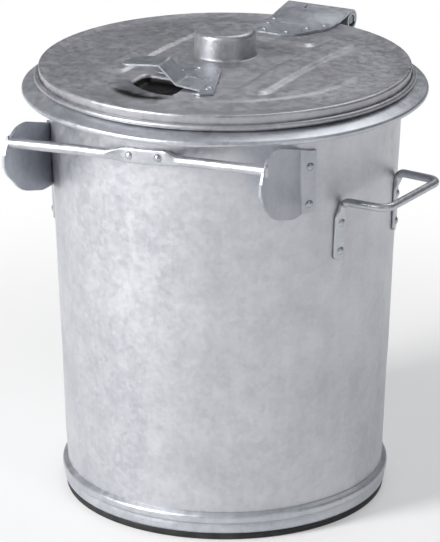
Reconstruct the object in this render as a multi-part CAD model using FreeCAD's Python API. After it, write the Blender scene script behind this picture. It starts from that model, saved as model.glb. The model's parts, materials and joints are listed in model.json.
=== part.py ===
import FreeCAD, Part
import math
import os

# Galvanized sheet-steel dustbin with a hinged lid, in millimetres, +Z up.
# Origin: centre of the foot's underside.  The lifting bar faces -Y, the lid's hinge is at +Y
# and the two side handles are at -X and +X.

V = FreeCAD.Vector
UP = V(0, 0, 1)
CENTRE = V(0, 0, 0)

# ---- clearances ------------------------------------------------------------------------------
seat_gap = 0.1            # between sheets that are pressed against each other
lid_gap = 0.3             # between the closed lid and the rim that it rests on
pin_gap = 0.08            # all round the hinge pin
rivet_gap = 0.05          # all round a rivet's shank
knuckle_gap = 0.6         # endways between the hinge's rolled knuckles

# ---- tapered body ----------------------------------------------------------------------------
sheet = 1.2               # body, collar, hoop and lid sheet
body_base_radius = 160.1  # outside, at body_base_z
body_base_z = 28.4
body_side_slope = 0.03686 # growth of the radius for each millimetre of height
body_bottom_z = 4.0
mouth_z = 437.2           # highest point of the rolled mouth, which the lid rests on
seam_angle = 130.0        # folded upright seam, at the back, from +X towards +Y
seam_width = 7.0
seam_proud = 1.1

# ---- foot ------------------------------------------------------------------------------------
ring_height = 7.0         # black rubber ring
ring_inner_radius = 153.5
ring_outer_radius = 161.6
hoop_bead_proud = 5.0     # rounded upper half of the steel hoop
hoop_lower_proud = 3.6
hoop_crease_z = 16.8
pan_floor_z = 19.5        # pressed bottom: top of its outer floor
pan_step_height = 3.5     # raised middle of the floor
pan_step_radius = 110.0
pan_corner_radius = 6.0
pan_skirt_z = 8.5         # lower edge of the bottom's turned-down skirt

# ---- collar round the mouth ------------------------------------------------------------------
collar_radius = 200.0     # outside of the wired edge
collar_bead_z = 416.4     # centre of the wired edge
collar_bead_radius = 3.2
collar_slope = 21.0       # degrees, falling outwards
collar_lip = 8.0          # turned down inside the mouth
collar_curl = 285.0       # degrees that the edge is rolled round its wire
wire_gap = 0.05

# ---- lid -------------------------------------------------------------------------------------
hem_radius = 187.7        # outside of the lid's wired edge
hem_bead_z = 428.5
hem_bead_radius = 2.8
hem_curl = 295.0
lid_corner_z = 440.3      # crest just inside the lid's edge
lid_corner_inset = 2.6
valley_radius = 165.0
valley_z = 438.7
plateau_radius = 138.0    # edge of the raised middle
plateau_z = 441.3
boss_base_radius = 30.8
boss_base_z = 447.5
boss_top_radius = 29.8
boss_top_z = 473.0
boss_round = 4.5
rib_height = 2.6          # pressed ribs on the raised middle
rib_width = 30.0
rib_offset = 77.0         # of the two long ribs from the middle
rib_front_y = -92.0
rib_back_y = 118.0
cross_rib_y = 81.0
cross_rib_width = 22.0
rib_draft = 3.5           # how far a rib's side leans in

# ---- finger grip on the lid ------------------------------------------------------------------
grip_sheet = 1.8
grip_round_centre = (6.0, -68.0)
grip_round_radius = 63.0  # front edge of the grip's base plate
window_round_radius = 64.0
window_left = -41.0       # finger hollow under the tongue
window_right = 13.0
window_back_y = -84.0
well_depth = 8.0
tongue_turn = 8.0         # degrees that the tongue is turned from square to the lid
tongue_foot = (10.0, -116.0)
tongue_depth = 31.0       # front to back
tongue_length = 58.0      # from its foot to its free end
tongue_flare_length = 24.0
tongue_root = 8.0         # how far the tongue goes on into the plate
tongue_root_drop = 1.4    # and how deep it dives there
tongue_flare_rise = 3.0
tongue_rise = 20.5
tongue_slope_run = 18.0
tongue_droop = 4.0        # degrees, towards the free end
tongue_bends = (12.0, 6.0, 4.0)
grip_rivets = ((2.0, -59.5), (-9.0, -71.5), (38.5, -104.0))

# ---- hinge -----------------------------------------------------------------------------------
hinge_y = 206.0
hinge_z = 438.0
pin_radius = 5.0
hinge_sheet = 2.5
coil_slit = 0.4           # between the two turns of a rolled knuckle
hinge_half_width = 37.0
middle_knuckle_half = 12.7
leaf_front_y = 94.0
leaf_front_half_width = 23.0
leaf_flare_y = 138.0
leaf_lift_y = 165.0       # from here the leaf rises from the lid to the knuckles
leaf_rivets = ((-29.0, 156.0), (29.0, 156.0), (-22.0, 130.0), (22.0, 130.0), (-12.5, 103.0), (12.5, 103.0))
bracket_half_width = 30.0
bracket_top_z = 392.0
bracket_bottom_z = 333.0
bracket_rivet_x = 19.0
bracket_rivet_zs = (344.0, 371.0)

# ---- lifting bar and its ears ----------------------------------------------------------------
bar_radius = 5.0
bar_z = 392.0             # middle of the bar
bar_half_length = 138.5
bar_skew = 7.0            # the bar's right end lies this much above its middle, the left end below
bar_y = 178.6             # distance of the bar in front of the body's axis
bar_flat_shift = 8.0     # the flattened middle lies this far to the right
bar_flat_length = 40.0
bar_flat_height = 15.0
bar_flat_thickness = 4.0
bar_taper_length = 20.0
bar_taper_root = 4             # how far a taper starts inside the flat
bar_rivet_spacing = 30.0
ear_sheet = 2.5
ear_edge_y = 190.0        # outer upright edge of an ear, in front of the body's axis
ear_end_angle = 57.8      # degrees round from the front to the flange's edge
ear_rivet_angle = 55.6
ear_rivet_drops = (17.0, 54.5)  # of the two rivets below the bar
ear_bend = 9.0
ear_head_height = 14.0    # oval end of the bar, outside the ear
ear_head_width = 7.0
ear_head_thickness = 1.8

# ---- side handles ----------------------------------------------------------------------------
handle_radius = 4.0
handle_z = 340.0
handle_drop = 8.0         # the left handle sits this much lower
handle_turn = 3.75        # degrees that the handles are set forward of the sides
handle_reach = 213.5      # middle of the grip from the body's axis
handle_foot_y = 53.8
handle_grip_half = 51.5
handle_corner = 12.0
handle_foot_bend = 8.0
handle_foot_drop = 60.0         # from the arm to the foot's lower end
handle_foot_width = 14.0
handle_foot_thickness = 3.4
handle_foot_shoulder = 9.5      # below the arm, where the flattened foot begins
handle_rivet_drops = (50.0, 21.5)

# ---- rivets ----------------------------------------------------------------------------------
rivet_shank = 2.4
rivet_head = 4.1
rivet_head_height = 2.2
rivet_tail = 3.7
rivet_tail_height = 1.0


def body_radius(z):
    """Outside radius of the tapered body at a height."""
    return body_base_radius + (z - body_base_z) * body_side_slope


def at(angle, radius, z=0.0):
    """Point at an angle in degrees from +X, a radius and a height."""
    a = math.radians(angle)
    return V(radius * math.cos(a), radius * math.sin(a), z)


def line(a, b):
    return Part.LineSegment(a, b).toShape()


def arc(a, middle, b):
    return Part.Arc(a, middle, b).toShape()


def polyline(points):
    return [line(a, b) for a, b in zip(points, points[1:])]


def curl(centre, radius, start, sweep):
    """Arc in the XZ plane round a centre (x, z): start and sweep in degrees."""
    def point(angle):
        a = math.radians(angle)
        return V(centre[0] + radius * math.cos(a), 0, centre[1] + radius * math.sin(a))
    return arc(point(start), point(start + sweep / 2), point(start + sweep))


def closed(points):
    """Flat face with straight sides through the points."""
    return Part.Face(Part.makePolygon(list(points) + [points[0]]))


def spin(face):
    return face.revolve(CENTRE, UP, 360)


def thick_sheet(edges, thickness):
    """Face between an open path and the same path moved by the thickness to its left."""
    return Part.Wire(edges).makeOffset2D(thickness, 0, True, True)


def ring(inner, outer, low, high):
    return Part.makeCylinder(outer, high - low, V(0, 0, low)).cut(
        Part.makeCylinder(inner, high - low, V(0, 0, low)))


def cone_solid(offset, low, high):
    """The body's outer cone, grown by an offset."""
    return Part.makeCone(body_radius(low) + offset, body_radius(high) + offset, high - low, V(0, 0, low))


def cone_shell(inner, outer, low, high):
    """Layer on the body's wall, between two offsets from its outside."""
    return cone_solid(outer, low, high).cut(cone_solid(inner, low, high))


def torus(radius, z, wire):
    return Part.makeTorus(radius, wire, V(0, 0, z), UP)


def rounded(points, radii):
    """Flat face in the plane of the points, with a round at each corner."""
    edges = []
    count = len(points)
    starts, ends = [], []
    for i in range(count):
        before, here, after = points[i - 1], points[i], points[(i + 1) % count]
        to_before = (before - here).normalize()
        to_after = (after - here).normalize()
        half = to_before.getAngle(to_after) / 2
        reach = radii[i] / math.tan(half)
        starts.append(here + to_before * reach)
        ends.append(here + to_after * reach)
        if radii[i] > 0:
            inward = (to_before + to_after).normalize()
            middle = here + inward * (radii[i] / math.sin(half) - radii[i])
            edges.append(arc(starts[i], middle, ends[i]))
        else:
            edges.append(None)
    outline = []
    for i in range(count):
        if edges[i] is not None:
            outline.append(edges[i])
        following = starts[(i + 1) % count]
        if ends[i].distanceToPoint(following) > 1e-6:
            outline.append(line(ends[i], following))
    return Part.Face(Part.Wire(outline))


def soft_path(points, radii):
    """Edges along straight legs through the points, with a round at each inner point."""
    edges = []
    here = points[0]
    for i, radius in enumerate(radii, start=1):
        corner = points[i]
        back = (points[i - 1] - corner).normalize()
        onward = (points[i + 1] - corner).normalize()
        half = back.getAngle(onward) / 2
        reach = radius / math.tan(half)
        middle = corner + (back + onward).normalize() * (radius / math.sin(half) - radius)
        edges.append(line(here, corner + back * reach))
        edges.append(arc(corner + back * reach, middle, corner + onward * reach))
        here = corner + onward * reach
    edges.append(line(here, points[-1]))
    return edges


def plan(points, radii, low, high):
    """Upright prism over a rounded outline given as (x, y) pairs."""
    face = rounded([V(x, y, low) for x, y in points], radii)
    return face.extrude(V(0, 0, high - low))


def aim(shape, point, direction):
    """Turn a shape from +Z to a direction and move it to a point."""
    turned = shape.copy()
    turned.Placement = FreeCAD.Placement(point, FreeCAD.Rotation(UP, direction))
    return turned


def rivet(point, outward, grip):
    """Domed rivet: its head sits at the point, and it clamps what lies within the grip length."""
    dome_radius = (rivet_head ** 2 + rivet_head_height ** 2) / (2 * rivet_head_height)
    half = math.asin(rivet_head / dome_radius) / 2
    crown = V(dome_radius * math.sin(half), 0, rivet_head_height - dome_radius * (1 - math.cos(half)))
    tail_z = -grip - seat_gap
    end_z = tail_z - rivet_tail_height
    outline = [arc(V(0, 0, rivet_head_height), crown, V(rivet_head, 0, 0))]
    outline += polyline([V(rivet_head, 0, 0), V(rivet_shank, 0, 0), V(rivet_shank, 0, tail_z),
                         V(rivet_tail, 0, tail_z), V(rivet_tail, 0, end_z), V(0, 0, end_z),
                         V(0, 0, rivet_head_height)])
    return aim(spin(Part.Face(Part.Wire(outline))), point, outward)


def rivet_hole(point, outward, grip):
    depth = grip + 4 * rivet_head_height
    drill = Part.makeCylinder(rivet_shank + rivet_gap, depth, V(0, 0, -grip - 2 * rivet_head_height))
    return aim(drill, point, outward)


class Riveting:
    """The rivets of one joint: where each one is and the holes that they need."""

    def __init__(self):
        self.places = []

    def on_body(self, angle, z, plate):
        """A rivet through a plate and the body's wall."""
        outward = at(angle, 1.0)
        outward.z = -body_side_slope
        outward.normalize()
        point = at(angle, body_radius(z), z) + outward * (seat_gap + plate)
        self.places.append((point, outward, plate + seat_gap + sheet))

    def on_lid(self, x, y, plate):
        """A rivet through a plate that lies on the lid."""
        height, upward = lid_surface(x, y)
        self.places.append((V(x, y, height + seat_gap + plate), upward, plate + seat_gap + sheet))

    def holes(self):
        return [rivet_hole(*place) for place in self.places]

    def solids(self):
        return [rivet(*place) for place in self.places]


# ---- pieces of the body ----------------------------------------------------------------------
fold_radius = sheet / 2 + seat_gap                # inside the collar's fold over the body's edge
mouth_edge_z = mouth_z - sheet - fold_radius      # top of the body's own sheet


def make_body_shell():
    wall = cone_shell(-sheet, 0, body_bottom_z, mouth_edge_z)
    strip_low = body_base_z + 2 * sheet
    strip = cone_shell(-sheet / 2, seam_proud, strip_low, collar_turn_z() - 2 * sheet)
    slot = Part.makeBox(collar_radius, seam_width, mouth_z, V(0, -seam_width / 2, 0))
    slot.rotate(CENTRE, UP, seam_angle)
    return wall.fuse(strip.common(slot)).removeSplitter()


def make_foot_ring():
    groove_out = body_radius(body_bottom_z) + seat_gap
    groove_in = groove_out - sheet - 2 * seat_gap
    whole = ring(ring_inner_radius, ring_outer_radius, 0, ring_height)
    return whole.cut(ring(groove_in, groove_out + ring_height * body_side_slope, body_bottom_z, ring_height))


def make_foot_hoop():
    """Rolled hoop: a round bead over a flatter lower band, lying on the body's wall."""
    low, crease, high = ring_height + seat_gap, hoop_crease_z, body_base_z
    r_low = body_radius(low) + hoop_lower_proud
    r_crease = body_radius(crease) + hoop_lower_proud - 0.6
    outline = [
        arc(V(r_low - 0.9, 0, low), V(r_low + 0.2, 0, (low + crease) / 2 - 1), V(r_crease, 0, crease)),
        arc(V(r_crease, 0, crease),
            V(body_radius(crease) + hoop_bead_proud, 0, (crease + high) / 2),
            V(body_radius(high) + seat_gap + 0.6, 0, high)),
        line(V(body_radius(high) + seat_gap + 0.6, 0, high), V(body_radius(high) + seat_gap, 0, high)),
        line(V(body_radius(high) + seat_gap, 0, high), V(body_radius(low) + seat_gap, 0, low)),
        line(V(body_radius(low) + seat_gap, 0, low), V(r_low - 0.9, 0, low))]
    return spin(Part.Face(Part.Wire(outline)))


def make_bottom_pan():
    """Pressed bottom: stepped floor with a skirt turned down inside the body's wall."""
    def wall(z):
        return body_radius(z) - sheet - seat_gap
    c = pan_corner_radius
    high = pan_floor_z + pan_step_height
    edge = wall(pan_floor_z - c)
    path = [
        line(V(0, 0, high), V(pan_step_radius, 0, high)),
        line(V(pan_step_radius, 0, high), V(pan_step_radius + 2 * pan_step_height, 0, pan_floor_z)),
        line(V(pan_step_radius + 2 * pan_step_height, 0, pan_floor_z), V(edge - c, 0, pan_floor_z)),
        arc(V(edge - c, 0, pan_floor_z),
            V(edge - c + c * math.sin(math.pi / 4), 0, pan_floor_z - c + c * math.cos(math.pi / 4)),
            V(edge, 0, pan_floor_z - c)),
        line(V(edge, 0, pan_floor_z - c), V(wall(pan_skirt_z), 0, pan_skirt_z))]
    return spin(thick_sheet(path, -sheet))


def collar_bead_centre():
    return (collar_radius - collar_bead_radius, collar_bead_z)


def collar_turn_z():
    """Height where the collar leaves the body's wall."""
    x, z = collar_bead_centre()
    s = math.radians(collar_slope)
    inner = collar_bead_radius - sheet
    start = (x + inner * math.sin(s), z + inner * math.cos(s))
    return start[1] + (start[0] - body_radius(start[1]) - seat_gap) * math.tan(s)


def make_collar():
    """Sheet ring folded over the body's mouth, sloping out to an edge rolled round a wire."""
    x, z = collar_bead_centre()
    inner = collar_bead_radius - sheet
    start_angle = 90 - collar_slope
    a = math.radians(start_angle)
    outside = body_radius(mouth_edge_z) + seat_gap
    inside = outside - 2 * fold_radius
    top = mouth_edge_z
    turn = collar_turn_z()
    path = [
        line(V(inside - collar_lip * body_side_slope, 0, top - collar_lip), V(inside, 0, top)),
        arc(V(inside, 0, top), V(inside + fold_radius, 0, top + fold_radius), V(outside, 0, top)),
        line(V(outside, 0, top), V(body_radius(turn) + seat_gap, 0, turn)),
        line(V(body_radius(turn) + seat_gap, 0, turn), V(x + inner * math.cos(a), 0, z + inner * math.sin(a))),
        curl((x, z), inner, start_angle, -collar_curl)]
    return spin(thick_sheet(path, sheet))


def make_collar_wire():
    x, z = collar_bead_centre()
    return torus(x, z, collar_bead_radius - sheet - wire_gap)


# ---- lid -------------------------------------------------------------------------------------
hem_centre = (hem_radius - hem_bead_radius, hem_bead_z)
band_radius = hem_centre[0] - hem_bead_radius + sheet    # outside of the lid's upright band
cone_slope = (boss_base_z - plateau_z) / (plateau_radius - boss_base_radius)


def lid_top_path(lift=0.0):
    """Upper surface of the lid from its axis, over cone, slope and valley, to the edge's crest."""
    axis_z = boss_base_z + boss_base_radius * cone_slope + lift
    rise_r = body_radius(mouth_z) - sheet - collar_lip / 2
    rise_z = mouth_z + lid_gap + sheet + lift
    crest_r = band_radius - lid_corner_inset
    points = [
        V(0, 0, axis_z),
        V(plateau_radius, 0, plateau_z + lift),
        V(plateau_radius + 3, 0, plateau_z - 0.9 + lift),
        V(valley_radius - 3, 0, valley_z + lift),
        V(valley_radius + 2, 0, valley_z + lift),
        V(rise_r, 0, max(rise_z, valley_z + lift)),
        V(crest_r, 0, lid_corner_z + lift)]
    return points


def lid_surface(x, y):
    """Height and upward direction of the lid's upper surface, leaving out its ribs."""
    r = math.hypot(x, y)
    points = lid_top_path()
    for a, b in zip(points, points[1:]):
        if r <= b.x:
            break
    fall = (a.z - b.z) / (b.x - a.x)
    return a.z - (r - a.x) * fall, V(x / r * fall, y / r * fall, 1).normalize()


def lid_height(x, y):
    return lid_surface(x, y)[0]


def lid_body(lift, floor):
    """Solid from a floor up to the lid's upper surface, raised or lowered by a lift."""
    top = lid_top_path(lift)
    last = top[-1]
    outline = polyline(top + [V(last.x, 0, floor), V(0, 0, floor), top[0]])
    return spin(Part.Face(Part.Wire(outline)))


def rib_blocks(width, y_low, y_high, x_middle, across, lean):
    """Prism with leaning sides over a rib's long outline."""
    def outline(shrink, z):
        half = width / 2 - shrink
        if across:
            corners = [(y_low + shrink, x_middle - half), (y_high - shrink, x_middle - half),
                       (y_high - shrink, x_middle + half), (y_low + shrink, x_middle + half)]
        else:
            corners = [(x_middle - half, y_low + shrink), (x_middle + half, y_low + shrink),
                       (x_middle + half, y_high - shrink), (x_middle - half, y_high - shrink)]
        round_size = min(half * 0.85, 9.0)
        return rounded([V(x, y, z) for x, y in corners], [round_size] * 4).OuterWire
    low, high = lid_corner_z - 8, boss_base_z + 4
    grade = lean / rib_height
    middle = lid_height(rib_offset, 0)
    return Part.makeLoft([outline((low - middle) * grade, low), outline((high - middle) * grade, high)],
                         True, True)


def rib_list(shrink):
    """The two long ribs and the cross rib, each narrowed all round by a shrink."""
    lean = rib_draft
    ribs = [rib_blocks(rib_width - 2 * shrink, rib_front_y + shrink, rib_back_y - shrink, side * rib_offset,
                       False, lean) for side in (-1, 1)]
    reach = rib_offset - rib_width / 2 - 4
    ribs.append(rib_blocks(cross_rib_width - 2 * shrink, -reach + shrink, reach - shrink, cross_rib_y,
                           True, lean))
    return ribs


def well_prism(grow, low, high):
    """Finger hollow's outline: three straight sides and a round front."""
    box = plan([(window_left - grow, window_back_y + grow), (window_left - grow, -collar_radius),
                (window_right + grow, -collar_radius), (window_right + grow, window_back_y + grow)],
               [8 + grow, 0, 0, 8 + grow], low, high)
    return box.common(grip_round(window_round_radius + grow, low, high))


def grip_round(radius, low, high):
    return Part.makeCylinder(radius, high - low, V(grip_round_centre[0], grip_round_centre[1], low))


def make_lid_shell():
    """Drawn lid: wired hem, upright band, valley, raised middle with ribs, and a hollow boss."""
    crest = V(band_radius - lid_corner_inset, 0, lid_corner_z)
    x, z = hem_centre
    inner = hem_bead_radius - sheet
    shoulder = lid_corner_z - lid_corner_inset
    bulge = lid_corner_inset * math.sin(math.pi / 4)
    top = lid_top_path()
    base = V(boss_base_radius, 0, boss_base_z)
    waist = V(boss_top_radius, 0, boss_top_z - boss_round)
    cap = V(boss_top_radius - boss_round, 0, boss_top_z)
    cap_bulge = boss_round * (1 - math.sin(math.pi / 4))
    path = [
        line(V(0, 0, boss_top_z), cap),
        arc(cap, V(boss_top_radius - cap_bulge, 0, boss_top_z - cap_bulge), waist),
        line(waist, base)]
    path += polyline([base] + top[1:])
    path += [
        arc(crest, V(crest.x + bulge, 0, shoulder + bulge), V(band_radius, 0, shoulder)),
        line(V(band_radius, 0, shoulder), V(band_radius, 0, z)),
        curl((x, z), inner, 180, hem_curl)]
    lid = spin(thick_sheet(path, -sheet))

    floor = lid_corner_z - 6
    raised = lid_body(rib_height, floor)
    raised_inside = lid_body(rib_height - sheet, floor)
    under = lid_body(-sheet, floor - 1)
    for rib, hollow in zip(rib_list(0.0), rib_list(sheet)):
        lid = lid.fuse(rib.common(raised).cut(under)).cut(hollow.common(raised_inside))

    deep = lid_body(-well_depth, floor - well_depth)
    deeper = lid_body(-well_depth - sheet, floor - 2 * well_depth)
    surface = lid_body(0.0, floor - well_depth)
    low, high = floor - well_depth, boss_base_z + 4
    tray = well_prism(sheet, low, high).common(surface).cut(deeper)
    lid = lid.fuse(tray).cut(well_prism(0.0, low, high).cut(deep))
    return lid.cut(leaf_riveting.holes() + grip_riveting.holes()).removeSplitter()


def make_lid_wire():
    return torus(hem_centre[0], hem_centre[1], hem_bead_radius - sheet - wire_gap)


def make_lid_grip():
    """Base plate on the lid, with a window and a tongue bent up out of it over the finger hollow."""
    low, high = lid_corner_z - 6, boss_top_z
    over = lid_body(seat_gap + grip_sheet, low - 2)
    lid_solid = lid_body(seat_gap, low - 3)
    foot_x, foot_y = tongue_foot
    side_x = foot_x + tongue_flare_length
    back_y = foot_y + tongue_depth
    outline = plan([(23, -49), (-22, -52), (-31, -66), (-31, back_y), (side_x - 3, back_y + 3),
                    (side_x, -140), (55, -128), (38, -86)],
                   [5, 6, 8, 1, 1, 0, 0, 0], low, high)
    outline = outline.common(grip_round(grip_round_radius, low, high))
    plate = outline.common(over).cut(lid_solid)

    # the tongue in its own frame: x runs along it from the foot, z up from the lid there
    turn = math.radians(tongue_droop)
    run = tongue_length - tongue_slope_run
    top = V(tongue_slope_run, 0, tongue_rise)
    path = soft_path([V(-tongue_flare_length - tongue_root, 0, -tongue_root_drop),
                      V(-tongue_flare_length, 0, 0), V(0, 0, tongue_flare_rise), top,
                      top + V(run * math.cos(turn), 0, -run * math.sin(turn))], tongue_bends)
    tongue = thick_sheet(path, grip_sheet).extrude(V(0, tongue_depth, 0))
    tongue = tongue.common(plan([(-side_x, 0), (-side_x, tongue_depth), (tongue_length - 0.5, tongue_depth),
                                 (tongue_length - 0.5, 0)], [0, 0, 13, 9], -low, high))
    tongue.rotate(CENTRE, UP, 180)
    tongue.translate(V(0, tongue_depth, 0))
    tongue.rotate(CENTRE, UP, tongue_turn)
    middle_x, middle_y = side_x, foot_y + tongue_depth / 2
    tongue.translate(V(foot_x, foot_y, lid_height(middle_x, middle_y) + seat_gap))
    whole = plate.fuse(tongue).cut(lid_solid)
    return whole.cut(grip_riveting.holes()).removeSplitter()


# ---- hinge -----------------------------------------------------------------------------------
roll_inner = pin_radius + pin_gap
roll_outer = roll_inner + 2 * hinge_sheet + coil_slit


def knuckle(x_low, x_high, seam_start):
    """Sheet rolled one and a half times round the pin; a slit parts its two turns."""
    length = x_high - x_low
    along = V(1, 0, 0)
    start = V(x_low, hinge_y, hinge_z)
    turns = Part.makeCylinder(roll_outer, length, start, along).cut(
        Part.makeCylinder(roll_inner, length, start, along))
    mid = roll_inner + hinge_sheet
    def around(angle, radius):
        a = math.radians(angle)
        return V(x_low, hinge_y + radius * math.cos(a), hinge_z + radius * math.sin(a))
    def slit(radius, angle):
        return around(seam_start + angle, radius)
    lead = coil_slit / roll_inner * 57.3
    outline = [
        line(slit(roll_inner - 0.3, 0), slit(mid + coil_slit, 0)),
        arc(slit(mid + coil_slit, 0), slit(mid + coil_slit, 145), slit(mid + coil_slit, 290)),
        line(slit(mid + coil_slit, 290), slit(mid, 290)),
        arc(slit(mid, 290), slit(mid, 150), slit(mid, lead)),
        line(slit(mid, lead), slit(roll_inner - 0.3, lead)),
        line(slit(roll_inner - 0.3, lead), slit(roll_inner - 0.3, 0))]
    return turns.cut(Part.Face(Part.Wire(outline)).extrude(along * length))


def make_hinge_leaf():
    """Lid leaf: riveted flat on the lid, rising over its edge to two rolled knuckles."""
    low, high = lid_corner_z - 6, boss_top_z
    half, front = hinge_half_width, leaf_front_half_width
    spread = half - 2.0
    outline = plan([(-front, leaf_front_y), (front, leaf_front_y), (spread, leaf_flare_y),
                    (half, leaf_lift_y + 24), (half, hinge_y), (-half, hinge_y),
                    (-half, leaf_lift_y + 24), (-spread, leaf_flare_y)],
                   [13, 13, 20, 20, 0, 0, 20, 20], low, high)
    over = lid_body(seat_gap + hinge_sheet, low - 2)
    lid_solid = lid_body(seat_gap, low - 3)
    flat = outline.common(over).cut(lid_solid)
    flat = flat.common(Part.makeBox(4 * half, leaf_lift_y + 4, high, V(-2 * half, 0, 0)))

    # straight rise: its upper face is tangent to the top of the rolled knuckles
    start_z = lid_height(0, leaf_lift_y) + seat_gap + hinge_sheet
    dy, dz = hinge_y - leaf_lift_y, start_z - hinge_z
    reach = math.hypot(dy, dz)
    tangent = math.atan2(dz, -dy) - math.acos(roll_outer / reach)
    ty, tz = hinge_y + roll_outer * math.cos(tangent), hinge_z + roll_outer * math.sin(tangent)
    back = V(0, math.cos(tangent), math.sin(tangent)) * -hinge_sheet
    a, b = V(-half, leaf_lift_y, start_z), V(-half, ty, tz)
    ramp = closed([a, b, b + back, a + back]).extrude(V(2 * half, 0, 0)).common(outline)
    notch = Part.makeCylinder(roll_outer + 2 * knuckle_gap + hinge_sheet, 2 * middle_knuckle_half + 2 * knuckle_gap,
                              V(-middle_knuckle_half - knuckle_gap, hinge_y, hinge_z), V(1, 0, 0))
    plate = flat.fuse(ramp.cut(lid_solid))
    bore = Part.makeCylinder(roll_inner + hinge_sheet, 4 * half, V(-2 * half, hinge_y, hinge_z), V(1, 0, 0))
    plate = plate.cut(notch).cut(bore)
    rolls = [knuckle(-half, -middle_knuckle_half - knuckle_gap, 250),
             knuckle(middle_knuckle_half + knuckle_gap, half, 250)]
    return plate.fuse(rolls).cut(leaf_riveting.holes()).removeSplitter()


def make_hinge_bracket():
    """Body bracket: riveted flange, arm reaching out behind the collar, and the middle knuckle."""
    wide, narrow = bracket_half_width, middle_knuckle_half
    flange = cone_shell(seat_gap, seat_gap + hinge_sheet, bracket_bottom_z, bracket_top_z)
    face = rounded([V(-wide, 0, bracket_bottom_z), V(wide, 0, bracket_bottom_z), V(wide, 0, bracket_top_z + 6),
                    V(narrow, 0, bracket_top_z + 30), V(narrow, 0, hinge_z + roll_outer + 1),
                    V(-narrow, 0, hinge_z + roll_outer + 1), V(-narrow, 0, bracket_top_z + 30),
                    V(-wide, 0, bracket_top_z + 6)], [8, 8, 12, 14, 0, 0, 14, 12])
    outline = face.extrude(V(0, hinge_y + 2 * roll_outer, 0))
    foot_y = body_radius(bracket_top_z) + seat_gap + hinge_sheet
    rear = hinge_y + roll_outer
    knee_z = collar_bead_z - 4
    path = rounded([V(0, foot_y - hinge_sheet, bracket_top_z - 14), V(0, foot_y, bracket_top_z - 14),
                    V(0, foot_y, bracket_top_z - 4), V(0, rear, knee_z), V(0, rear, hinge_z),
                    V(0, rear - hinge_sheet, hinge_z), V(0, rear - hinge_sheet, knee_z + 1),
                    V(0, foot_y - hinge_sheet, bracket_top_z - 2.5)],
                   [0, 0, 6, 8, 0, 0, 6, 8])
    arm = path.extrude(V(2 * wide, 0, 0))
    arm.translate(V(-wide, 0, 0))
    roll = knuckle(-narrow, narrow, 180)
    bore = Part.makeCylinder(roll_inner + hinge_sheet, 4 * wide, V(-2 * wide, hinge_y, hinge_z), V(1, 0, 0))
    whole = flange.fuse(arm).common(outline).cut(cone_solid(seat_gap, bracket_bottom_z - 5, mouth_edge_z))
    whole = whole.cut(bore).fuse(roll)
    return whole.cut(bracket_riveting.holes()).removeSplitter()


def make_hinge_pin():
    half = hinge_half_width - 1.0
    pin = Part.makeCylinder(pin_radius, 2 * half, V(-half, hinge_y, hinge_z), V(1, 0, 0))
    return pin.makeChamfer(0.8, [e for e in pin.Edges if e.Curve.TypeId == "Part::GeomCircle"])


# ---- lifting bar -----------------------------------------------------------------------------
skew_angle = math.degrees(math.atan2(bar_skew, bar_half_length))


def skewed(shape):
    """Turn a shape with the bar, right end up."""
    turned = shape.copy()
    turned.rotate(V(0, -bar_y, bar_z), V(0, 1, 0), -skew_angle)
    return turned


def oval(x, y, z, half_deep, half_tall):
    """Ellipse in a plane square to X, its height at least its depth."""
    if half_tall > half_deep:
        curve = Part.Ellipse(CENTRE, half_tall, half_deep)
    else:
        curve = Part.Circle(CENTRE, UP, half_deep)
    wire = Part.Wire(curve.toShape())
    wire.rotate(CENTRE, V(0, 1, 0), 90)
    wire.translate(V(x, y, z))
    return wire


def make_front_bar():
    """Round bar, hammered flat where it is riveted to the body, with oval ends outside the ears."""
    half_flat = bar_flat_length / 2
    left, right = bar_flat_shift - half_flat, bar_flat_shift + half_flat
    flat = cone_shell(seat_gap, seat_gap + bar_flat_thickness, bar_z - 20, bar_z + 20)
    face = rounded([V(left, 0, bar_z - bar_flat_height / 2), V(right, 0, bar_z - bar_flat_height / 2),
                    V(right, 0, bar_z + bar_flat_height / 2), V(left, 0, bar_z + bar_flat_height / 2)],
                   [3, 3, 3, 3])
    flat = flat.common(skewed(face.extrude(V(0, -2 * bar_y, 0))))
    solids = []
    for x, side in ((left, -1), (right, 1)):
        layer = body_radius(bar_z) + seat_gap + bar_flat_thickness / 2
        y = -math.sqrt(layer ** 2 - x ** 2)
        inside = x - side * bar_taper_root
        y_inside = -math.sqrt(layer ** 2 - inside ** 2)
        far = x + side * bar_taper_length
        end = side * (bar_half_length + ear_sheet / 2)
        taper = Part.makeLoft([oval(inside, y_inside, bar_z, bar_flat_thickness / 2 - 0.5, bar_flat_height / 2 - 1),
                               oval(x, y, bar_z, bar_flat_thickness / 2, bar_flat_height / 2 - 0.3),
                               oval(far, -bar_y, bar_z, bar_radius, bar_radius)], True, False)
        rod = Part.Face(oval(far, -bar_y, bar_z, bar_radius, bar_radius)).extrude(V(end - far, 0, 0))
        head = ear_head(side)
        solids += [skewed(taper), skewed(rod), skewed(head)]
    whole = flat.fuse(solids).cut(cone_solid(seat_gap, bar_z - 30, bar_z + 30))
    return whole.cut(bar_riveting.holes()).removeSplitter()


def ear_head(side):
    """Oval button on the bar's end, hammered flat against the ear."""
    x = side * (bar_half_length + ear_sheet / 2 + seat_gap)
    tall, wide = ear_head_height / 2, ear_head_width / 2
    face = rounded([V(x, -bar_y - wide, bar_z - tall), V(x, -bar_y + wide, bar_z - tall),
                    V(x, -bar_y + wide, bar_z + tall), V(x, -bar_y - wide, bar_z + tall)], [3.2] * 4)
    button = face.extrude(V(side * ear_head_thickness, 0, 0))
    neck = Part.makeCylinder(bar_radius - 1.2, 2 * seat_gap, V(x - side * seat_gap, -bar_y, bar_z), V(side, 0, 0))
    return button.fuse(neck)


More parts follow.
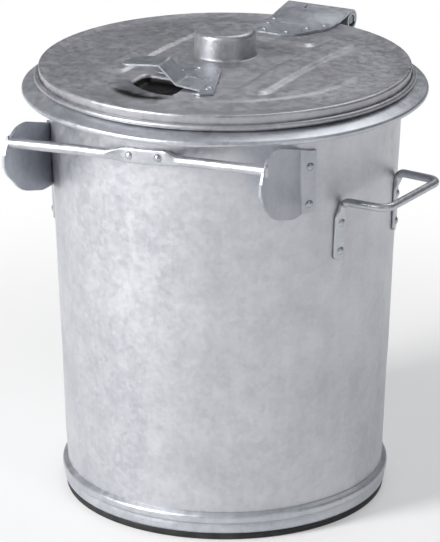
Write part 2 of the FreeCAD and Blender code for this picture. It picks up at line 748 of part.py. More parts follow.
def ear_section(z, side):
    """Outline of the ear's bent sheet at a height: flange on the wall, bend, straight leg."""
    radius = body_radius(z) + seat_gap
    end = V(bar_half_length - ear_sheet / 2, -ear_edge_y - 1, z)
    leg = V(0, -1, 0)
    away = V(1, 0, 0)
    cx = end.x + ear_bend
    cy = -math.sqrt((radius + ear_bend) ** 2 - cx ** 2)
    centre = V(cx, cy, z)
    touch = V(cx, cy, 0) * (radius / (radius + ear_bend)) + V(0, 0, z)
    leave = centre - away * ear_bend
    low = math.radians(-90 + ear_end_angle)
    edge = V(radius * math.cos(low), radius * math.sin(low), z)
    start_angle = math.atan2(touch.y, touch.x)
    middle_angle = (low + start_angle) / 2
    middle = V(radius * math.cos(middle_angle), radius * math.sin(middle_angle), z)
    turn_middle = centre + ((touch - centre) + (leave - centre)).normalize() * ear_bend
    path = [arc(edge, middle, touch), arc(touch, turn_middle, leave), line(leave, end)]
    face = thick_sheet(path, ear_sheet)
    if face.BoundBox.XMax < edge.x + ear_sheet / 3:
        face = thick_sheet(path, -ear_sheet)
    wire = face.OuterWire
    return wire if side > 0 else wire.mirror(CENTRE, V(1, 0, 0))


def make_ear(side):
    """Bent plate that carries one end of the bar."""
    base = bar_z + side * bar_skew
    low, high = base - 80, base + 30
    solid = Part.makeLoft([ear_section(low, side), ear_section(high, side)], True, True)
    e = ear_edge_y
    x = side * (bar_half_length - 60)
    face = rounded([V(x, -75, base - 63), V(x, -75, base - 3), V(x, -100, base - 1), V(x, -e + 42, base + 13),
                    V(x, -e, base + 14), V(x, -e + 2, base - 28), V(x, -e + 30, base - 54),
                    V(x, -e + 68, base - 64)],
                   [10, 6, 20, 20, 30, 22, 50, 30])
    solid = solid.common(face.extrude(V(side * 100, 0, 0)))
    hole = skewed(Part.makeCylinder(bar_radius + seat_gap, 60, V(side * (bar_half_length - 30), -bar_y, bar_z),
                                    V(side, 0, 0)))
    return solid.cut([hole] + ear_riveting.holes()).removeSplitter()


# ---- side handles ----------------------------------------------------------------------------
def handle_top(side):
    """Height of a handle's grip: side is -1 for the left one and 1 for the right one."""
    return handle_z - (handle_drop if side < 0 else 0)


def make_handle(side):
    """Rod handle: level grip and arms, turned down at the wall into two flattened feet."""
    top = handle_top(side)
    shoulder = top - handle_foot_shoulder
    centre_radius = seat_gap + handle_radius
    wall_x = math.sqrt((body_radius(top) + centre_radius) ** 2 - handle_foot_y ** 2)
    foot_x = math.sqrt((body_radius(shoulder) + centre_radius) ** 2 - handle_foot_y ** 2)
    pieces = []
    for end in (-1, 1):
        y = end * handle_foot_y
        foot = V(foot_x, y, shoulder)
        knee = V(wall_x, y, top)
        down = (foot - knee).normalize()
        legs = [foot, knee, V(handle_reach, end * handle_grip_half, top), V(handle_reach, 0, top)]
        spine = Part.Wire(soft_path(legs, (handle_foot_bend, handle_corner)))
        profile = Part.Wire(Part.Circle(foot, down * -1, handle_radius).toShape())
        pieces.append(spine.makePipeShell([profile], True, False))
        pieces.append(handle_foot(foot, down, top - handle_foot_drop))
    whole = pieces[0].fuse(pieces[1:]).removeSplitter()
    whole = whole.cut(cone_solid(seat_gap, top - handle_foot_drop - 10, top + 20))
    whole.rotate(CENTRE, UP, handle_angle(side))
    return whole.cut(handle_riveting.holes()).removeSplitter()


def handle_angle(side):
    return -handle_turn if side > 0 else 180 + handle_turn


def handle_foot(shoulder, down, low):
    """Flattened foot that follows the wall, and the hammered taper above it."""
    half = handle_foot_width / 2
    high = shoulder.z - handle_foot_shoulder / 2
    y = shoulder.y
    layer = cone_shell(seat_gap, seat_gap + handle_foot_thickness, low, high + 1)
    face = rounded([V(0, y - half, low), V(0, y + half, low), V(0, y + half, high), V(0, y - half, high)],
                   [5, 5, 2, 2])
    plate = layer.common(face.extrude(V(handle_reach, 0, 0)))
    middle = seat_gap + handle_foot_thickness / 2
    low_x = math.sqrt((body_radius(high - 3) + middle) ** 2 - y ** 2)
    flat = Part.Wire(Part.Ellipse(CENTRE, half - 0.2, handle_foot_thickness / 2).toShape())
    flat.rotate(CENTRE, UP, 90 + math.degrees(math.atan2(y, low_x)))
    flat.translate(V(low_x, y, high - 3))
    top = Part.Wire(Part.Circle(shoulder - down, UP, handle_radius - 0.02).toShape())
    taper = Part.makeLoft([flat, top], True, False)
    return plate.fuse(taper)


# ---- rivets ----------------------------------------------------------------------------------
bar_riveting = Riveting()
flat_angle = -90 + math.degrees(math.asin(bar_flat_shift / bar_y))
half_turn = math.degrees(bar_rivet_spacing / 2 / body_radius(bar_z))
for step in (-1, 1):
    x_here = bar_flat_shift + step * bar_rivet_spacing / 2
    bar_riveting.on_body(flat_angle + step * half_turn, bar_z + x_here / bar_half_length * bar_skew,
                         bar_flat_thickness)

ear_riveting = Riveting()
for side in (-1, 1):
    for drop in ear_rivet_drops:
        ear_riveting.on_body(-90 + side * ear_rivet_angle, bar_z + side * bar_skew - drop, ear_sheet)

handle_riveting = Riveting()
for side in (-1, 1):
    for end in (-1, 1):
        for drop in handle_rivet_drops:
            z = handle_top(side) - drop
            turn = math.degrees(math.asin(handle_foot_y / (body_radius(z) + handle_foot_thickness)))
            handle_riveting.on_body(handle_angle(side) + end * turn, z, handle_foot_thickness)

bracket_riveting = Riveting()
for x in (-bracket_rivet_x, bracket_rivet_x):
    for z in bracket_rivet_zs:
        bracket_riveting.on_body(90 - math.degrees(math.asin(x / body_radius(z))), z, hinge_sheet)

leaf_riveting = Riveting()
for x, y in leaf_rivets:
    leaf_riveting.on_lid(x, y, hinge_sheet)

grip_riveting = Riveting()
for x, y in grip_rivets:
    grip_riveting.on_lid(x, y, grip_sheet)


def main():
    os.makedirs("parts", exist_ok=True)
    body_holes = [hole for group in (bar_riveting, ear_riveting, handle_riveting, bracket_riveting)
                  for hole in group.holes()]
    nodes = {
        "body_shell": make_body_shell().cut(body_holes),
        "bottom_pan": make_bottom_pan(),
        "foot_ring": make_foot_ring(),
        "foot_hoop": make_foot_hoop(),
        "collar": make_collar(),
        "collar_wire": make_collar_wire(),
        "front_bar": make_front_bar(),
        "bar_rivets": Part.makeCompound(bar_riveting.solids()),
        "bar_ear_left": make_ear(-1),
        "bar_ear_right": make_ear(1),
        "ear_rivets": Part.makeCompound(ear_riveting.solids()),
        "handle_left": make_handle(-1),
        "handle_right": make_handle(1),
        "handle_rivets": Part.makeCompound(handle_riveting.solids()),
        "hinge_bracket": make_hinge_bracket(),
        "bracket_rivets": Part.makeCompound(bracket_riveting.solids()),
        "hinge_pin": make_hinge_pin(),
        "lid_shell": make_lid_shell(),
        "lid_wire": make_lid_wire(),
        "hinge_leaf": make_hinge_leaf(),
        "leaf_rivets": Part.makeCompound(leaf_riveting.solids()),
        "lid_grip": make_lid_grip(),
        "grip_rivets": Part.makeCompound(grip_riveting.solids()),
    }
    for name, shape in nodes.items():
        shape.exportStep("parts/" + name + ".step")
        box = shape.BoundBox
        print("%-15s solids %d valid %s volume %.0f  x %.1f %.1f  y %.1f %.1f  z %.1f %.1f" % (
            name, len(shape.Solids), shape.isValid(), shape.Volume,
            box.XMin, box.XMax, box.YMin, box.YMax, box.ZMin, box.ZMax))


main()
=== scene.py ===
"""Visual model and studio of a galvanized dustbin with a hinged lid.

Sizes are in millimetres in this file and become metres when a mesh is made.  The frame is the CAD part's own:
+Z up, the lifting bar at -Y, the hinge at +Y, the side handles at -X and +X.
"""

import json
import logging
import math
from dataclasses import dataclass, field
from enum import Enum
from typing import Any, Callable, Optional, Sequence, Union

import bmesh
import bpy
import numpy as np
from mathutils import Euler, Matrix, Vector

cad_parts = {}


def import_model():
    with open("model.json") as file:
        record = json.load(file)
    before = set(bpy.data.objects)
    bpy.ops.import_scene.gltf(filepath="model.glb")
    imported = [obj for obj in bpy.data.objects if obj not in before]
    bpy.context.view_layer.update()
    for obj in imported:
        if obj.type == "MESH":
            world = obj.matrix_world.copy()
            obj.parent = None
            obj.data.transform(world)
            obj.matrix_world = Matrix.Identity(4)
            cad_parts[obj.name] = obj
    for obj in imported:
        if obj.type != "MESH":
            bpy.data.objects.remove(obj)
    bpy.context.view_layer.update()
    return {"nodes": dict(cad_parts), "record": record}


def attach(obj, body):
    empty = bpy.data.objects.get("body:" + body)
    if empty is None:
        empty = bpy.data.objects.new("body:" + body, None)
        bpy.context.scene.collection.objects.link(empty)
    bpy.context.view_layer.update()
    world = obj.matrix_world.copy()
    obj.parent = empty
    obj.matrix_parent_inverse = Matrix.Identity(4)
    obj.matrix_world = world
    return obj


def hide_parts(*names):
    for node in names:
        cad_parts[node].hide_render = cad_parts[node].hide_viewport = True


LOG = logging.getLogger("dustbin")
Array = np.ndarray
MM = 0.001


# ---- small geometry tools --------------------------------------------------------------------
def smoothstep(low: float, high: float, value: Array) -> Array:
    """Cubic ramp from 0 to 1.

    Args:
        low: Value where the ramp starts.
        high: Value where the ramp ends, which may be below low.
        value: Values to map.

    Returns:
        The ramp at each value.
    """
    t = np.clip((np.asarray(value, float) - low) / (high - low), 0.0, 1.0)
    return t * t * (3.0 - 2.0 * t)


def waves(seed: int, count: int, shortest: float, longest: float) -> Callable[[Array, Array], Array]:
    """Smooth random field of two coordinates: a sum of sines of random direction and phase.

    Args:
        seed: Seed of the random numbers.
        count: Number of sines.
        shortest: Shortest wavelength, in the coordinates' unit.
        longest: Longest wavelength.

    Returns:
        A function of two arrays with values of about -1 to 1.
    """
    rng = np.random.default_rng(seed)
    length = np.exp(rng.uniform(math.log(shortest), math.log(longest), count))
    angle = rng.uniform(0.0, math.tau, count)
    phase = rng.uniform(0.0, math.tau, count)
    weight = (length / longest) ** 0.6

    def field_at(u: Array, v: Array) -> Array:
        """Sum of the sines at each place.

        Args:
            u: First coordinate.
            v: Second coordinate.

        Returns:
            The field's values.
        """
        total = np.zeros(np.broadcast(u, v).shape)
        for l, a, p, w in zip(length, angle, phase, weight):
            total += w * np.sin(math.tau * (u * math.cos(a) + v * math.sin(a)) / l + p)
        return total / math.sqrt((weight ** 2).sum() * 2.0)

    return field_at


def arc_points(centre: Sequence[float], radius: float, start: float, sweep: float, count: int) -> Array:
    """Points on an arc in a plane.

    Args:
        centre: Centre of the arc.
        radius: Its radius.
        start: First point's angle in degrees.
        sweep: Angle to the last point in degrees.
        count: Number of points.

    Returns:
        Array of shape (count, 2).
    """
    a = np.radians(start + sweep * np.linspace(0.0, 1.0, count))
    return np.stack([centre[0] + radius * np.cos(a), centre[1] + radius * np.sin(a)], 1)


def rounded_path(points: Sequence[Sequence[float]], radii: Sequence[float], steps: int = 8) -> Array:
    """Open path with a round at each inner corner.

    Args:
        points: Corners of the path, each of two or three coordinates.
        radii: One radius for each inner corner.
        steps: Points on each round.

    Returns:
        Array of points.
    """
    p = np.asarray(points, float)
    out = [p[0]]
    for i, radius in enumerate(radii, start=1):
        back = (p[i - 1] - p[i]) / np.linalg.norm(p[i - 1] - p[i])
        onward = (p[i + 1] - p[i]) / np.linalg.norm(p[i + 1] - p[i])
        half = math.acos(float(np.clip(back @ onward, -1.0, 1.0))) / 2.0
        reach = radius / math.tan(half)
        middle = p[i] + (back + onward) / np.linalg.norm(back + onward) * radius / math.sin(half)
        a, b = p[i] + back * reach - middle, p[i] + onward * reach - middle
        turn = math.acos(float(np.clip(a @ b / radius ** 2, -1.0, 1.0)))
        for t in np.linspace(0.0, 1.0, steps):
            out.append(middle + (a * math.sin((1 - t) * turn) + b * math.sin(t * turn)) / math.sin(turn))
    out.append(p[-1])
    return np.array(out)


def resample(path: Array, spacing: float) -> Array:
    """Points added on a path's long legs, so that no step is longer than a spacing.

    Args:
        path: Array of points.
        spacing: Longest step.

    Returns:
        Array of points that keeps all the given ones.
    """
    out = [path[0]]
    for a, b in zip(path, path[1:]):
        n = max(1, int(math.ceil(np.linalg.norm(b - a) / spacing)))
        out += [a + (b - a) * k / n for k in range(1, n + 1)]
    return np.array(out)


def path_normals(path: Array) -> Array:
    """Unit normals to the left of a path's direction of travel.

    Args:
        path: Array of shape (n, 2).

    Returns:
        Array of shape (n, 2).
    """
    step = np.gradient(path, axis=0)
    step /= np.maximum(np.linalg.norm(step, axis=1, keepdims=True), 1e-9)
    return np.stack([-step[:, 1], step[:, 0]], 1)


# ---- mesh making -----------------------------------------------------------------------------
class MeshMaker:
    """Turns point grids in millimetres into finished objects at the origin."""

    def __init__(self) -> None:
        """Starts with nothing made."""
        self.made: list[bpy.types.Object] = []

    def build(self, name: str, shells: Sequence[tuple[Array, Array]],
              sharp: float = 50.0) -> bpy.types.Object:
        """One object from closed shells.

        Args:
            name: Name of the object.
            shells: Pairs of points (n, 3) and faces (m, 4), where a triangle repeats its last corner.
            sharp: Edges that turn by more than this many degrees are drawn sharp.

        Returns:
            The new object.
        """
        bm = bmesh.new()
        for points, faces in shells:
            verts = [bm.verts.new(p) for p in np.asarray(points) * MM]
            for face in faces.tolist():
                corners = list(dict.fromkeys(face))
                if len(corners) > 2:
                    bm.faces.new([verts[i] for i in corners])
        bmesh.ops.recalc_face_normals(bm, faces=bm.faces)
        mesh = bpy.data.meshes.new(name)
        bm.to_mesh(mesh)
        bm.free()
        mesh.polygons.foreach_set("use_smooth", np.ones(len(mesh.polygons), bool))
        mesh.set_sharp_from_angle(angle=math.radians(sharp))
        made = bpy.data.objects.new(name, mesh)
        bpy.context.collection.objects.link(made)
        self.made.append(made)
        LOG.info("piece %s: %d faces", name, len(mesh.polygons))
        return made

    @staticmethod
    def grid_faces(rows: int, columns: int, wrap_rows: bool = False, wrap_columns: bool = False) -> Array:
        """Quads of a grid whose points are numbered row by row.

        Args:
            rows: Number of rows.
            columns: Number of columns.
            wrap_rows: Join the last row to the first.
            wrap_columns: Join the last column to the first.

        Returns:
            Array of shape (m, 4).
        """
        i, j = np.meshgrid(np.arange(rows - (not wrap_rows)), np.arange(columns - (not wrap_columns)),
                           indexing="ij")
        i, j = i.ravel(), j.ravel()
        k, l = (i + 1) % rows, (j + 1) % columns
        return np.stack([i * columns + j, k * columns + j, k * columns + l, i * columns + l], 1)

    def revolve(self, profile: Array, segments: int, warp: Optional[Callable[[Array], Array]] = None,
                ) -> tuple[Array, Array]:
        """Shell of a profile turned round the Z axis.

        Args:
            profile: Points (radius, z).  It starts and ends on the axis, or else it is a closed loop.
            segments: Steps round the axis.
            warp: Moves the points (rows, segments, 3) of the finished grid.

        Returns:
            Points and faces.
        """
        a = np.linspace(0.0, math.tau, segments, endpoint=False)
        on_axis = profile[0, 0] < 1e-6
        body = profile[1:-1] if on_axis else profile
        grid = np.empty((len(body), segments, 3))
        grid[..., 0] = body[:, :1] * np.cos(a)
        grid[..., 1] = body[:, :1] * np.sin(a)
        grid[..., 2] = body[:, 1:]
        if warp is not None:
            grid = warp(grid)
        points = grid.reshape(-1, 3)
        faces = self.grid_faces(len(body), segments, not on_axis, True)
        if on_axis:
            first, last = len(points), len(points) + 1
            poles = np.array([[0.0, 0.0, grid[0, :, 2].mean()], [0.0, 0.0, grid[-1, :, 2].mean()]])
            points = np.vstack([points, poles])
            j = np.arange(segments)
            k = (j + 1) % segments
            end = (len(body) - 1) * segments
            faces = np.vstack([faces, np.stack([j, k, np.full(segments, first), np.full(segments, first)], 1),
                               np.stack([end + k, end + j, np.full(segments, last),
                                         np.full(segments, last)], 1)])
        return points, faces

    def sheet(self, top: Array, thickness: float, outward: Sequence[float]) -> tuple[Array, Array]:
        """Closed shell of a sheet whose outer side is a grid of points.

        Args:
            top: Points of shape (rows, columns, 3).
            thickness: Thickness, behind the given side.
            outward: Direction that the outer side has to look to at the grid's first row.

        Returns:
            Points and faces.
        """
        rows, columns = top.shape[:2]
        du, dv = np.gradient(top, axis=0), np.gradient(top, axis=1)
        normal = np.cross(du, dv)
        normal /= np.maximum(np.linalg.norm(normal, axis=2, keepdims=True), 1e-9)
        facing = float(normal[1, columns // 2] @ np.asarray(outward, float))
        under = top - normal * math.copysign(thickness, facing)
        points = np.vstack([top.reshape(-1, 3), under.reshape(-1, 3)])
        faces = [self.grid_faces(rows, columns), self.grid_faces(rows, columns)[:, ::-1] + rows * columns]
        border = np.concatenate([np.arange(columns), np.arange(1, rows) * columns + columns - 1,
                                 (rows - 1) * columns + np.arange(columns - 2, -1, -1),
                                 np.arange(rows - 2, 0, -1) * columns])
        onward = np.roll(border, -1)
        faces.append(np.stack([border, border + rows * columns, onward + rows * columns, onward], 1))
        return points, np.vstack(faces)

    def sweep(self, path: Array, side: Array, up: Array, half_side: Array, half_up: Array,
              power: Array, around: int = 24) -> tuple[Array, Array]:
        """Closed shell of a rod whose section changes along a path.

        Args:
            path: Points (n, 3) on the rod's middle line.
            side: Unit directions (n, 3) of the section's first half axis.
            up: Unit directions (n, 3) of its second one.
            half_side: Half sizes (n) along side.
            half_up: Half sizes (n) along up.
            power: Superellipse powers (n): 2 is an ellipse and more is squarer.
            around: Points round each section.

        Returns:
            Points and faces.
        """
        t = np.linspace(0.0, math.tau, around, endpoint=False)
        c, s = np.cos(t), np.sin(t)
        e = 2.0 / np.asarray(power)[:, None]
        x = np.sign(c) * np.abs(c) ** e * half_side[:, None]
        y = np.sign(s) * np.abs(s) ** e * half_up[:, None]
        grid = path[:, None] + side[:, None] * x[..., None] + up[:, None] * y[..., None]
        rows = len(path)
        points = np.vstack([grid.reshape(-1, 3), path[0], path[-1]])
        j = np.arange(around)
        k = (j + 1) % around
        end = (rows - 1) * around
        n = rows * around
        return points, np.vstack([self.grid_faces(rows, around, False, True),
                                  np.stack([j, k, np.full(around, n), np.full(around, n)], 1),
                                  np.stack([end + k, end + j, np.full(around, n + 1),
                                            np.full(around, n + 1)], 1)])


# ---- shader building -------------------------------------------------------------------------
class Signal:
    """A shader value with arithmetic: each operation adds one Math node."""

    def __init__(self, graph: "Graph", socket: bpy.types.NodeSocket) -> None:
        """Wraps one socket.

        Args:
            graph: Graph that the socket is in.
            socket: Output socket of a node.
        """
        self.graph = graph
        self.socket = socket

    def _math(self, operation: str, *values: Any) -> "Signal":
        """One Math node on the given values."""
        return self.graph.node("ShaderNodeMath", {"operation": operation}, dict(enumerate(values)))

    def __add__(self, other: Any) -> "Signal":
        """Sum."""
        return self._math("ADD", self, other)

    def __sub__(self, other: Any) -> "Signal":
        """Difference."""
        return self._math("SUBTRACT", self, other)

    def __mul__(self, other: Any) -> "Signal":
        """Product."""
        return self._math("MULTIPLY", self, other)

    def __truediv__(self, other: Any) -> "Signal":
        """Quotient."""
        return self._math("DIVIDE", self, other)

    def __rsub__(self, other: Any) -> "Signal":
        """Difference from a number."""
        return self._math("SUBTRACT", other, self)

    def __rtruediv__(self, other: Any) -> "Signal":
        """Quotient of a number."""
        return self._math("DIVIDE", other, self)

    def __pow__(self, other: Any) -> "Signal":
        """Power."""
        return self._math("POWER", self, other)

    __radd__ = __add__
    __rmul__ = __mul__

    def ramp(self, low: float, high: float, to_low: float = 0.0, to_high: float = 1.0) -> "Signal":
        """Smooth ramp between two values.

        Args:
            low: Input where the ramp starts.
            high: Input where it ends.
            to_low: Output below it.
            to_high: Output above it.

        Returns:
            The ramped signal.
        """
        return self.graph.node("ShaderNodeMapRange", {"interpolation_type": "SMOOTHSTEP"},
                               {"Value": self, "From Min": low, "From Max": high,
                                "To Min": to_low, "To Max": to_high})


class Graph:
    """Builder of one node tree."""

    def __init__(self, tree: bpy.types.NodeTree) -> None:
        """Empties a node tree.

        Args:
            tree: The tree to build in.
        """
        self.tree = tree
        tree.nodes.clear()

    def node(self, kind: str, settings: Optional[dict[str, Any]] = None,
             inputs: Optional[dict[Any, Any]] = None, output: Union[int, str] = 0) -> Signal:
        """Adds a node.

        Args:
            kind: Blender's name of the node type.
            settings: Attributes of the node.
            inputs: Values or signals by socket name or number.
            output: Socket that the returned signal stands for.

        Returns:
            The node's output as a signal.
        """
        made = self.tree.nodes.new(kind)
        for key, value in (settings or {}).items():
            setattr(made, key, value)
        for key, value in (inputs or {}).items():
            if isinstance(value, Signal):
                self.tree.links.new(value.socket, made.inputs[key])
            else:
                made.inputs[key].default_value = value
        return Signal(self, made.outputs[output])

    def noise(self, where: Signal, scale: float, detail: float = 2.0, roughness: float = 0.5,
              distortion: float = 0.0) -> Signal:
        """Noise between about 0 and 1.

        Args:
            where: Coordinates in metres.
            scale: Features to the metre.
            detail: Octaves.
            roughness: Share of the fine octaves.
            distortion: How much the noise is bent.

        Returns:
            The noise.
        """
        return self.node("ShaderNodeTexNoise", None,
                         {"Vector": where, "Scale": scale, "Detail": detail, "Roughness": roughness,
                          "Distortion": distortion})

    def stretched(self, where: Signal, scale: Sequence[float]) -> Signal:
        """Coordinates multiplied by a factor for each axis.

        Args:
            where: Coordinates.
            scale: Three factors.

        Returns:
            The new coordinates.
        """
        return self.node("ShaderNodeVectorMath", {"operation": "MULTIPLY"}, {0: where, 1: tuple(scale)})

    def tint(self, dark: Sequence[float], light: Sequence[float], amount: Signal) -> Signal:
        """Colour between two, by an amount.

        Args:
            dark: Colour at 0.
            light: Colour at 1.
            amount: The amount.

        Returns:
            The colour.
        """
        return self.node("ShaderNodeMix", {"data_type": "RGBA"},
                         {0: amount, 6: (*dark, 1.0), 7: (*light, 1.0)}, 2)


class Wear(Enum):
    """How hard a galvanized piece has been used."""

    LIGHT = 0.7
    NORMAL = 1.0
    HEAVY = 1.35


@dataclass(frozen=True)
class Galvanized:
    """Hot-dipped zinc coat: cloudy mottling, crystal spangle, streaks and scratches, with painted shade in
    height bands and in a hollow.

    Attributes:
        name: Name of the material.
        light: Colour of clean zinc.
        dark: Colour of weathered zinc.
        roughness: Middle roughness.
        metallic: Share of metal.
        wear: How worn it is.
        cloud: Size in metres of the large mottling.
        painted_shade_bands: Pairs of heights in metres between which the colour is darkened as painted shade,
            such as under the collar: full at the first, none at the second.
        stain: Centre in metres and radius of a rusty stain, or None.
        hollow: Centre, radius and depth range in metres of a hollow painted near black as shade, or None.
    """

    name: str
    light: tuple[float, float, float] = (0.62, 0.64, 0.67)
    dark: tuple[float, float, float] = (0.34, 0.36, 0.40)
    roughness: float = 0.46
    metallic: float = 0.82
    wear: Wear = Wear.NORMAL
    cloud: float = 0.06
    painted_shade_bands: tuple[tuple[float, float], ...] = ()
    stain: Optional[tuple[float, float, float, float]] = None
    hollow: Optional[tuple[float, float, float, float, float]] = None

    def build(self) -> bpy.types.Material:
        """Makes the material.

        Returns:
            The new material.
        """
        material = bpy.data.materials.new(self.name)
        material.use_nodes = True
        g = Graph(material.node_tree)
        where = g.node("ShaderNodeTexCoord", output="Object")
        wear = self.wear.value
        cloud = g.noise(where, 1.0 / self.cloud, 4.0, 0.55, 0.4)
        patch = g.noise(where, 4.2 / self.cloud, 6.0, 0.62, 0.8)
        grain = g.noise(where, 900.0, 2.0, 0.6)
        streak = g.noise(g.stretched(where, (1.0, 1.0, 0.16)), 70.0, 3.0, 0.6)
        crystal = g.node("ShaderNodeTexVoronoi", {"feature": "SMOOTH_F1"},
                         {"Vector": where, "Scale": 210.0, "Smoothness": 0.35}, "Color")
        facet = g.node("ShaderNodeSeparateColor", None, {"Color": crystal})
        scratch_at = g.stretched(where, (0.35, 0.35, 1.0))
        scratch = g.noise(scratch_at, 420.0, 1.0, 0.4, 1.6).ramp(0.70, 0.76)
        rub = g.noise(where, 24.0, 3.0, 0.6).ramp(0.52, 0.68)
        tone = (cloud * 0.85 + patch * 0.75 + grain * 0.22 + streak * 0.35 + facet * 0.22 - 0.68)
        tone = tone - scratch * rub * (0.16 * wear)
        # painted shade: the colour is darkened in the given height bands, such as under the collar, mottled by
        # the patch noise
        for full, none in self.painted_shade_bands:
            height = g.node("ShaderNodeSeparateXYZ", None, {0: where}, 2)
            tone = tone - height.ramp(full, none, 1.0, 0.0) * (patch * 0.5 + 0.12) * wear
        tone = tone.ramp(-0.25, 1.15)
        colour = g.tint(self.dark, self.light, tone)
        if self.stain is not None:
            x, y, z, radius = self.stain
            away = g.node("ShaderNodeVectorMath", {"operation": "DISTANCE"},
                          {0: where, 1: (x, y, z)}, "Value")
            rust = (away + patch * radius * 1.2).ramp(radius * 1.1, radius * 0.6)
            colour = g.node("ShaderNodeMix", {"data_type": "RGBA"},
                            {0: rust, 6: colour, 7: (0.13, 0.09, 0.07, 1.0)}, 2)
        # painted shade: a near-black colour in the finger well, where the grip's tongue shades it
        if self.hollow is not None:
            x, y, radius, shallow, deep = self.hollow
            away = g.node("ShaderNodeVectorMath", {"operation": "DISTANCE"},
                          {0: where, 1: (x, y, deep)}, "Value")
            height = g.node("ShaderNodeSeparateXYZ", None, {0: where}, 2)
            well_shade = away.ramp(radius, radius * 0.85) * (height + (patch - 0.5) * 0.002).ramp(shallow, deep)
            colour = g.node("ShaderNodeMix", {"data_type": "RGBA"},
                            {0: well_shade, 6: colour, 7: (0.010, 0.009, 0.009, 1.0)}, 2)
        rough = self.roughness + (patch - 0.5) * 0.30 + (facet - 0.5) * 0.10 + rub * 0.05
        relief = cloud * 0.6 + patch * 0.35 + crystal_relief(g, where) * 0.12 + grain * 0.03
        bump = g.node("ShaderNodeBump", None,
                      {"Strength": 0.42 * wear, "Distance": 0.0012, "Height": relief})
        shader = g.node("ShaderNodeBsdfPrincipled", None,
                        {"Base Color": colour, "Metallic": self.metallic, "Roughness": rough, "Normal": bump})
        output_of(g, shader)
        return material


def crystal_relief(g: Graph, where: Signal) -> Signal:
    """Shallow relief of the zinc crystals.

    Args:
        g: The graph.
        where: Coordinates in metres.

    Returns:
        Height between 0 and 1.
    """
    return g.node("ShaderNodeTexVoronoi", {"feature": "F1"}, {"Vector": where, "Scale": 210.0}, "Distance")


def output_of(g: Graph, shader: Signal) -> None:
    """Ends a material graph.

    Args:
        g: The graph.
        shader: Its surface shader.
    """
    end = g.tree.nodes.new("ShaderNodeOutputMaterial")
    g.tree.links.new(shader.socket, end.inputs["Surface"])


@dataclass(frozen=True)
class Rubber:
    """Black rubber with dust and small scuffs.

    Attributes:
        name: Name of the material.
    """

    name: str

    def build(self) -> bpy.types.Material:
        """Makes the material.

        Returns:
            The new material.
        """
        material = bpy.data.materials.new(self.name)
        material.use_nodes = True
        g = Graph(material.node_tree)
        where = g.node("ShaderNodeTexCoord", output="Object")
        dust = g.noise(where, 60.0, 5.0, 0.6)
        grain = g.noise(where, 1400.0, 2.0, 0.6)
        colour = g.tint((0.008, 0.008, 0.009), (0.035, 0.035, 0.037), dust.ramp(0.4, 0.75))
        bump = g.node("ShaderNodeBump", None, {"Strength": 0.35, "Distance": 0.0004, "Height": grain + dust})
        shader = g.node("ShaderNodeBsdfPrincipled", None,
                        {"Base Color": colour, "Roughness": dust * 0.25 + 0.5, "Normal": bump})
        output_of(g, shader)
        return material


# ---- sizes shared by several pieces ----------------------------------------------------------
@dataclass(frozen=True)
class BinShape:
    """The tapered body and where things lie on it."""

    base_radius: float = 160.1
    base_z: float = 28.4
    slope: float = 0.03686
    sheet: float = 1.2
    bottom_z: float = 4.0
    top_z: float = 435.3

    def radius(self, z: Union[float, Array]) -> Union[float, Array]:
        """Outside radius of the body.

        Args:
            z: Height.

        Returns:
            The radius.
        """
        return self.base_radius + (z - self.base_z) * self.slope


